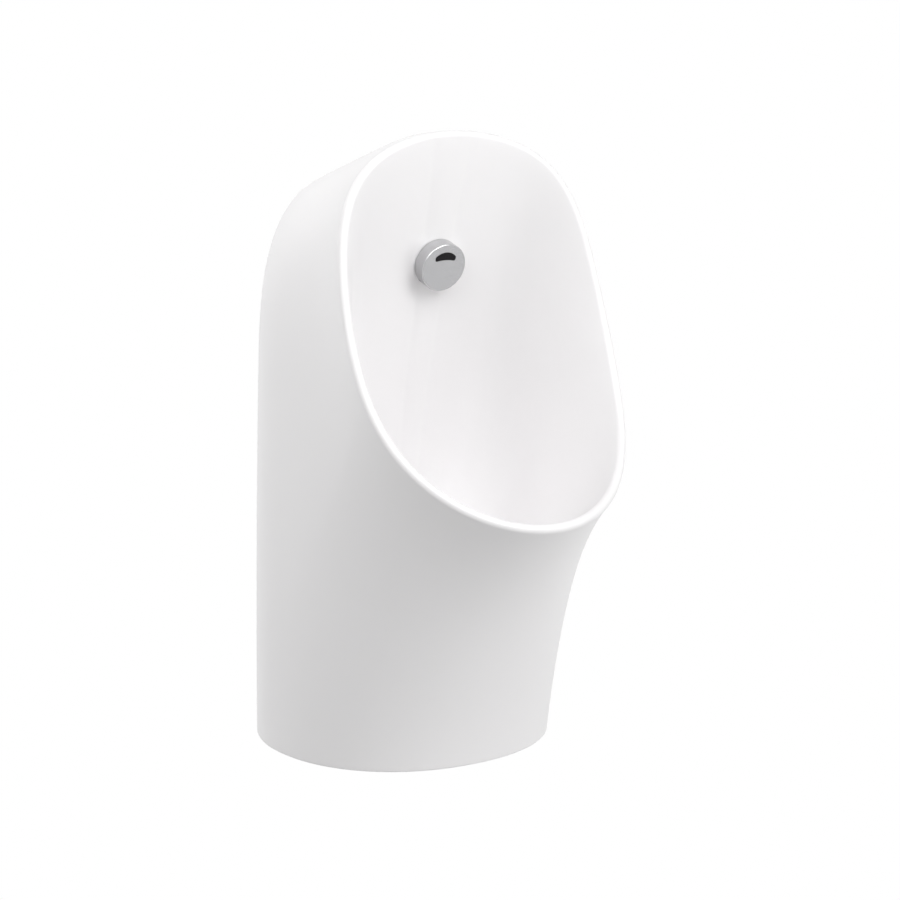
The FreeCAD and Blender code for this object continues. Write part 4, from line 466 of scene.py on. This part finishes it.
def grain_group():
    """Noise of a chosen scale on object coordinates, as a mask and a bumped normal."""
    group = bpy.data.node_groups.new("fine_grain", "ShaderNodeTree")
    for name, kind, default in (("Scale", "NodeSocketFloat", 400.0),
                                ("Stretch", "NodeSocketVector", (1, 1, 1)),
                                ("Depth", "NodeSocketFloat", 0.0001)):
        socket = group.interface.new_socket(name=name, in_out="INPUT", socket_type=kind)
        socket.default_value = default
    group.interface.new_socket(name="Mask", in_out="OUTPUT", socket_type="NodeSocketFloat")
    group.interface.new_socket(name="Normal", in_out="OUTPUT", socket_type="NodeSocketVector")
    nodes = group.nodes
    start, end = nodes.new("NodeGroupInput"), nodes.new("NodeGroupOutput")
    coords = nodes.new("ShaderNodeTexCoord")
    scaled = nodes.new("ShaderNodeVectorMath")
    scaled.operation = "MULTIPLY"
    noise = nodes.new("ShaderNodeTexNoise")
    noise.inputs["Detail"].default_value = 4.0
    bump = nodes.new("ShaderNodeBump")
    bump.inputs["Strength"].default_value = 1.0
    link(group, coords.outputs["Object"], scaled.inputs[0])
    link(group, start.outputs["Stretch"], scaled.inputs[1])
    link(group, scaled.outputs[0], noise.inputs["Vector"])
    link(group, start.outputs["Scale"], noise.inputs["Scale"])
    link(group, noise.outputs["Fac"], bump.inputs["Height"])
    link(group, start.outputs["Depth"], bump.inputs["Distance"])
    link(group, noise.outputs["Fac"], end.inputs["Mask"])
    link(group, bump.outputs["Normal"], end.inputs["Normal"])
    return group


GRAIN = grain_group()
COAT_ROUGHNESS = 0.12
SMOOTHEST = 0.02            # no finish gets a lower roughness
TINT_FROM, TINT_TO = 0.3, 0.7


def finish_material(name, colour, roughness, metallic=0.0, scale=400.0, depth=0.00002, stretch=(1, 1, 1),
                    spread=0.06, tint=0.04, coat=0.0, **extra):
    """Principled finish whose colour, roughness and normal vary with the grain."""
    material, tree, shader = node_tree(name)
    grain = tree.nodes.new("ShaderNodeGroup")
    grain.node_tree = GRAIN
    grain.inputs["Scale"].default_value = scale
    grain.inputs["Stretch"].default_value = stretch
    grain.inputs["Depth"].default_value = depth
    rough = tree.nodes.new("ShaderNodeMapRange")
    rough.inputs["To Min"].default_value = max(roughness - spread, SMOOTHEST)
    rough.inputs["To Max"].default_value = roughness + spread
    ramp = tree.nodes.new("ShaderNodeValToRGB")
    for element, gain in zip(ramp.color_ramp.elements, (1 - tint, 1 + tint)):
        element.color = [min(c * gain, 1.0) for c in colour] + [1.0]
    ramp.color_ramp.elements[0].position = TINT_FROM
    ramp.color_ramp.elements[1].position = TINT_TO
    link(tree, grain.outputs["Mask"], rough.inputs["Value"])
    link(tree, rough.outputs["Result"], shader.inputs["Roughness"])
    link(tree, grain.outputs["Mask"], ramp.inputs["Fac"])
    link(tree, ramp.outputs["Color"], shader.inputs["Base Color"])
    link(tree, grain.outputs["Normal"], shader.inputs["Normal"])
    shader.inputs["Metallic"].default_value = metallic
    shader.inputs["Coat Weight"].default_value = coat
    shader.inputs["Coat Roughness"].default_value = COAT_ROUGHNESS
    for key, value in extra.items():
        shader.inputs[key.replace("_", " ")].default_value = value
    return material


GLAZE = finish_material("white_glaze", (0.875, 0.865, 0.87), 0.34, scale=9.0, depth=0.00002, spread=0.03,
                        tint=0.004, coat=0.25)
FINISHES = {
    "chrome_plate": finish_material("satin_chrome", (0.55, 0.55, 0.56), 0.24, 1.0, 700.0, 0.000004),
    "brass": finish_material("turned_brass", (0.70, 0.52, 0.25), 0.30, 1.0, 300.0, 0.00001),
    "nickel_nut": finish_material("nickel", (0.62, 0.60, 0.56), 0.28, 1.0, 500.0, 0.000008),
    "dark_window": finish_material("infrared_window", (0.006, 0.005, 0.006), 0.22, scale=200.0,
                                   depth=0.000001, spread=0.02, Specular_IOR_Level=0.2),
    "rubber": finish_material("black_rubber", (0.025, 0.025, 0.026), 0.70, scale=900.0, depth=0.00003),
    "cable": finish_material("cable_jacket", (0.03, 0.03, 0.032), 0.50, scale=600.0, depth=0.00001),
    "hose": finish_material("steel_braid", (0.50, 0.51, 0.53), 0.35, 0.9, 900.0, 0.00015),
    "steel": finish_material("zinc_steel", (0.56, 0.58, 0.60), 0.38, 1.0, 260.0, 0.00001, (1, 1, 0.1)),
    "polished_steel": finish_material("polished_steel", (0.66, 0.66, 0.67), 0.14, 1.0, 500.0, 0.000004),
    "grey_plastic": finish_material("grey_nylon", (0.14, 0.145, 0.155), 0.48, scale=1100.0, depth=0.00003),
    "coil_resin": finish_material("coil_resin", (0.02, 0.02, 0.024), 0.42, scale=1200.0, depth=0.00003),
    "board": finish_material("solder_mask", (0.012, 0.11, 0.05), 0.30, scale=350.0, depth=0.00001),
    "cell_sleeve": finish_material("cell_sleeve", (0.06, 0.07, 0.10), 0.30, 0.4, 300.0, 0.000004),
    "white_plastic": finish_material("white_polypropylene", (0.80, 0.80, 0.79), 0.34, scale=500.0,
                                     depth=0.00001, tint=0.01),
}
OWN_FINISH = {              # nodes whose look differs from their slot's
    "cap_grub_screw": finish_material("black_oxide", (0.02, 0.02, 0.02), 0.45, 0.6, 500.0, 0.000004),
}


def dress_nodes():
    """Gives each node its own finish, or else its slot's."""
    for entry in frame["record"]["subparts"]:
        node = NODES.get(entry["node"])
        material = OWN_FINISH.get(entry["node"], FINISHES.get(entry["material_slot"]))
        if node is None or material is None:
            continue
        node.data.materials.clear()
        node.data.materials.append(material)


def main_pieces():
    """The finer pieces with their finishes, and the finishes of the other nodes."""
    for piece in (ceramic(), hanger_web(), cap_boss()):
        piece.data.materials.append(GLAZE)
    dress_nodes()
    spring = solenoid_spring()
    spring.data.materials.clear()
    spring.data.materials.append(FINISHES["steel"])


# -------------------------------------------------------------------------- stage
CAMERA_AZIMUTH, CAMERA_ELEVATION = 0.5712, 0.1972
CAMERA_DISTANCE, CAMERA_LENS = 2.49963, 96.0
AIM_REACH, AIM_Z = 88.72, 280.47
SENSOR_WIDTH, CLIP_END = 36.0, 50.0


def aim_point():
    """Where the camera looks: a point beside the body's middle, square to the line of sight."""
    side = AIM_REACH * math.cos(CAMERA_AZIMUTH)
    depth = AIM_REACH * math.sin(CAMERA_AZIMUTH)
    return Vector(to_frame(np.array([side, depth, AIM_Z])))


def set_camera():
    """Camera on a sphere about the aim point, to the left of the front and a little above."""
    data = bpy.data.cameras.new("camera")
    data.lens, data.sensor_width, data.sensor_fit = CAMERA_LENS, SENSOR_WIDTH, "HORIZONTAL"
    data.clip_end = CLIP_END
    camera = bpy.data.objects.new("camera", data)
    bpy.context.scene.collection.objects.link(camera)
    level = math.cos(CAMERA_ELEVATION)
    away = Vector((-math.sin(CAMERA_AZIMUTH) * level, -math.cos(CAMERA_AZIMUTH) * level,
                   math.sin(CAMERA_ELEVATION)))
    camera.location = aim_point() + away * CAMERA_DISTANCE
    camera.rotation_euler = away.to_track_quat("Z", "Y").to_euler()
    bpy.context.scene.camera = camera


LIGHT_AIM = Vector((0, -0.15, 0.0))
LIGHTS = (                  # name, turn from the front, height angle, distance, width, height, power
    ("key_front", 10.0, 40.0, 2.4, 1.6, 1.6, 37.0),
    ("low_right", 45.0, 5.0, 2.4, 1.6, 1.6, 17.5),
    ("upper_left", -60.0, 40.0, 2.4, 1.6, 1.6, 25.0),
    ("side_left", -100.0, 40.0, 2.4, 1.6, 1.6, 4.7),
    ("back_left", -150.0, 30.0, 2.4, 1.6, 1.6, 30.0),
)
SHINING = ("upper_left", "key_front")     # the lamps that polished faces show
WORLD_LIGHT, FLOOR_LIGHT, BACKDROP_WHITE, ROOM_WHITE = 0.1, 0.05, 1.0, 0.9
FLOOR_REACH, FLOOR_Z, FLOOR_GREY, FLOOR_ROUGHNESS = 12.0, -1.2, 0.85, 0.9


def area_light(name, turn, lift, distance, width, height, power):
    """Soft box on a sphere about the object, turned from the front towards +X."""
    data = bpy.data.lights.new(name, "AREA")
    data.shape, data.size, data.size_y, data.energy = "RECTANGLE", width, height, power
    lamp = bpy.data.objects.new(name, data)
    bpy.context.scene.collection.objects.link(lamp)
    turn, lift = math.radians(turn), math.radians(lift)
    away = Vector((math.sin(turn) * math.cos(lift), -math.cos(turn) * math.cos(lift), math.sin(lift)))
    lamp.location = LIGHT_AIM + away * distance
    lamp.rotation_euler = away.to_track_quat("Z", "Y").to_euler()
    lamp.visible_glossy = name in SHINING


def white_to_camera(tree, lit, surface):
    """The camera sees a plain white and reflections a pale room; soft light sees the lit shader."""
    path, room, white, mix = (tree.nodes.new(kind) for kind in (
        "ShaderNodeLightPath", "ShaderNodeMapRange",
        "ShaderNodeBackground" if surface == "Background" else "ShaderNodeEmission", "ShaderNodeMixShader"))
    seen = tree.nodes.new("ShaderNodeMath")
    seen.operation = "MAXIMUM"
    room.inputs["To Min"].default_value = ROOM_WHITE
    room.inputs["To Max"].default_value = BACKDROP_WHITE
    white.inputs["Color"].default_value = (1, 1, 1, 1)
    link(tree, path.outputs["Is Camera Ray"], seen.inputs[0])
    link(tree, path.outputs["Is Glossy Ray"], seen.inputs[1])
    link(tree, path.outputs["Is Camera Ray"], room.inputs["Value"])
    link(tree, room.outputs["Result"], white.inputs["Strength"])
    link(tree, seen.outputs[0], mix.inputs[0])
    link(tree, lit.outputs[0], mix.inputs[1])
    link(tree, white.outputs[0], mix.inputs[2])
    return mix


def set_stage():
    """White backdrop, soft boxes and a floor that stays out of the row."""
    scene = bpy.context.scene
    scene.view_settings.view_transform = "Standard"
    world = bpy.data.worlds.new("studio")
    scene.world = world
    world.use_nodes = True
    tree = world.node_tree
    lit = tree.nodes["Background"]
    lit.inputs["Color"].default_value = (1, 1, 1, 1)
    lit.inputs["Strength"].default_value = WORLD_LIGHT
    output = tree.nodes["World Output"]
    link(tree, white_to_camera(tree, lit, "Background").outputs[0], output.inputs["Surface"])
    for light in LIGHTS:
        area_light(*light)
    r = FLOOR_REACH
    corners = [(-r, -r, FLOOR_Z), (r, -r, FLOOR_Z), (r, r, FLOOR_Z), (-r, r, FLOOR_Z)]
    floor = mesh_object("floor", corners, [(0, 1, 2, 3)])
    material, tree, shader = node_tree("pale_floor")
    shader.inputs["Base Color"].default_value = (FLOOR_GREY, FLOOR_GREY, FLOOR_GREY, 1)
    shader.inputs["Roughness"].default_value = FLOOR_ROUGHNESS
    shader.inputs["Emission Color"].default_value = (1, 1, 1, 1)
    shader.inputs["Emission Strength"].default_value = FLOOR_LIGHT
    output = tree.nodes["Material Output"]
    link(tree, white_to_camera(tree, shader, "Emission").outputs[0], output.inputs["Surface"])
    floor.data.materials.append(material)


main_pieces()
set_camera()
set_stage()
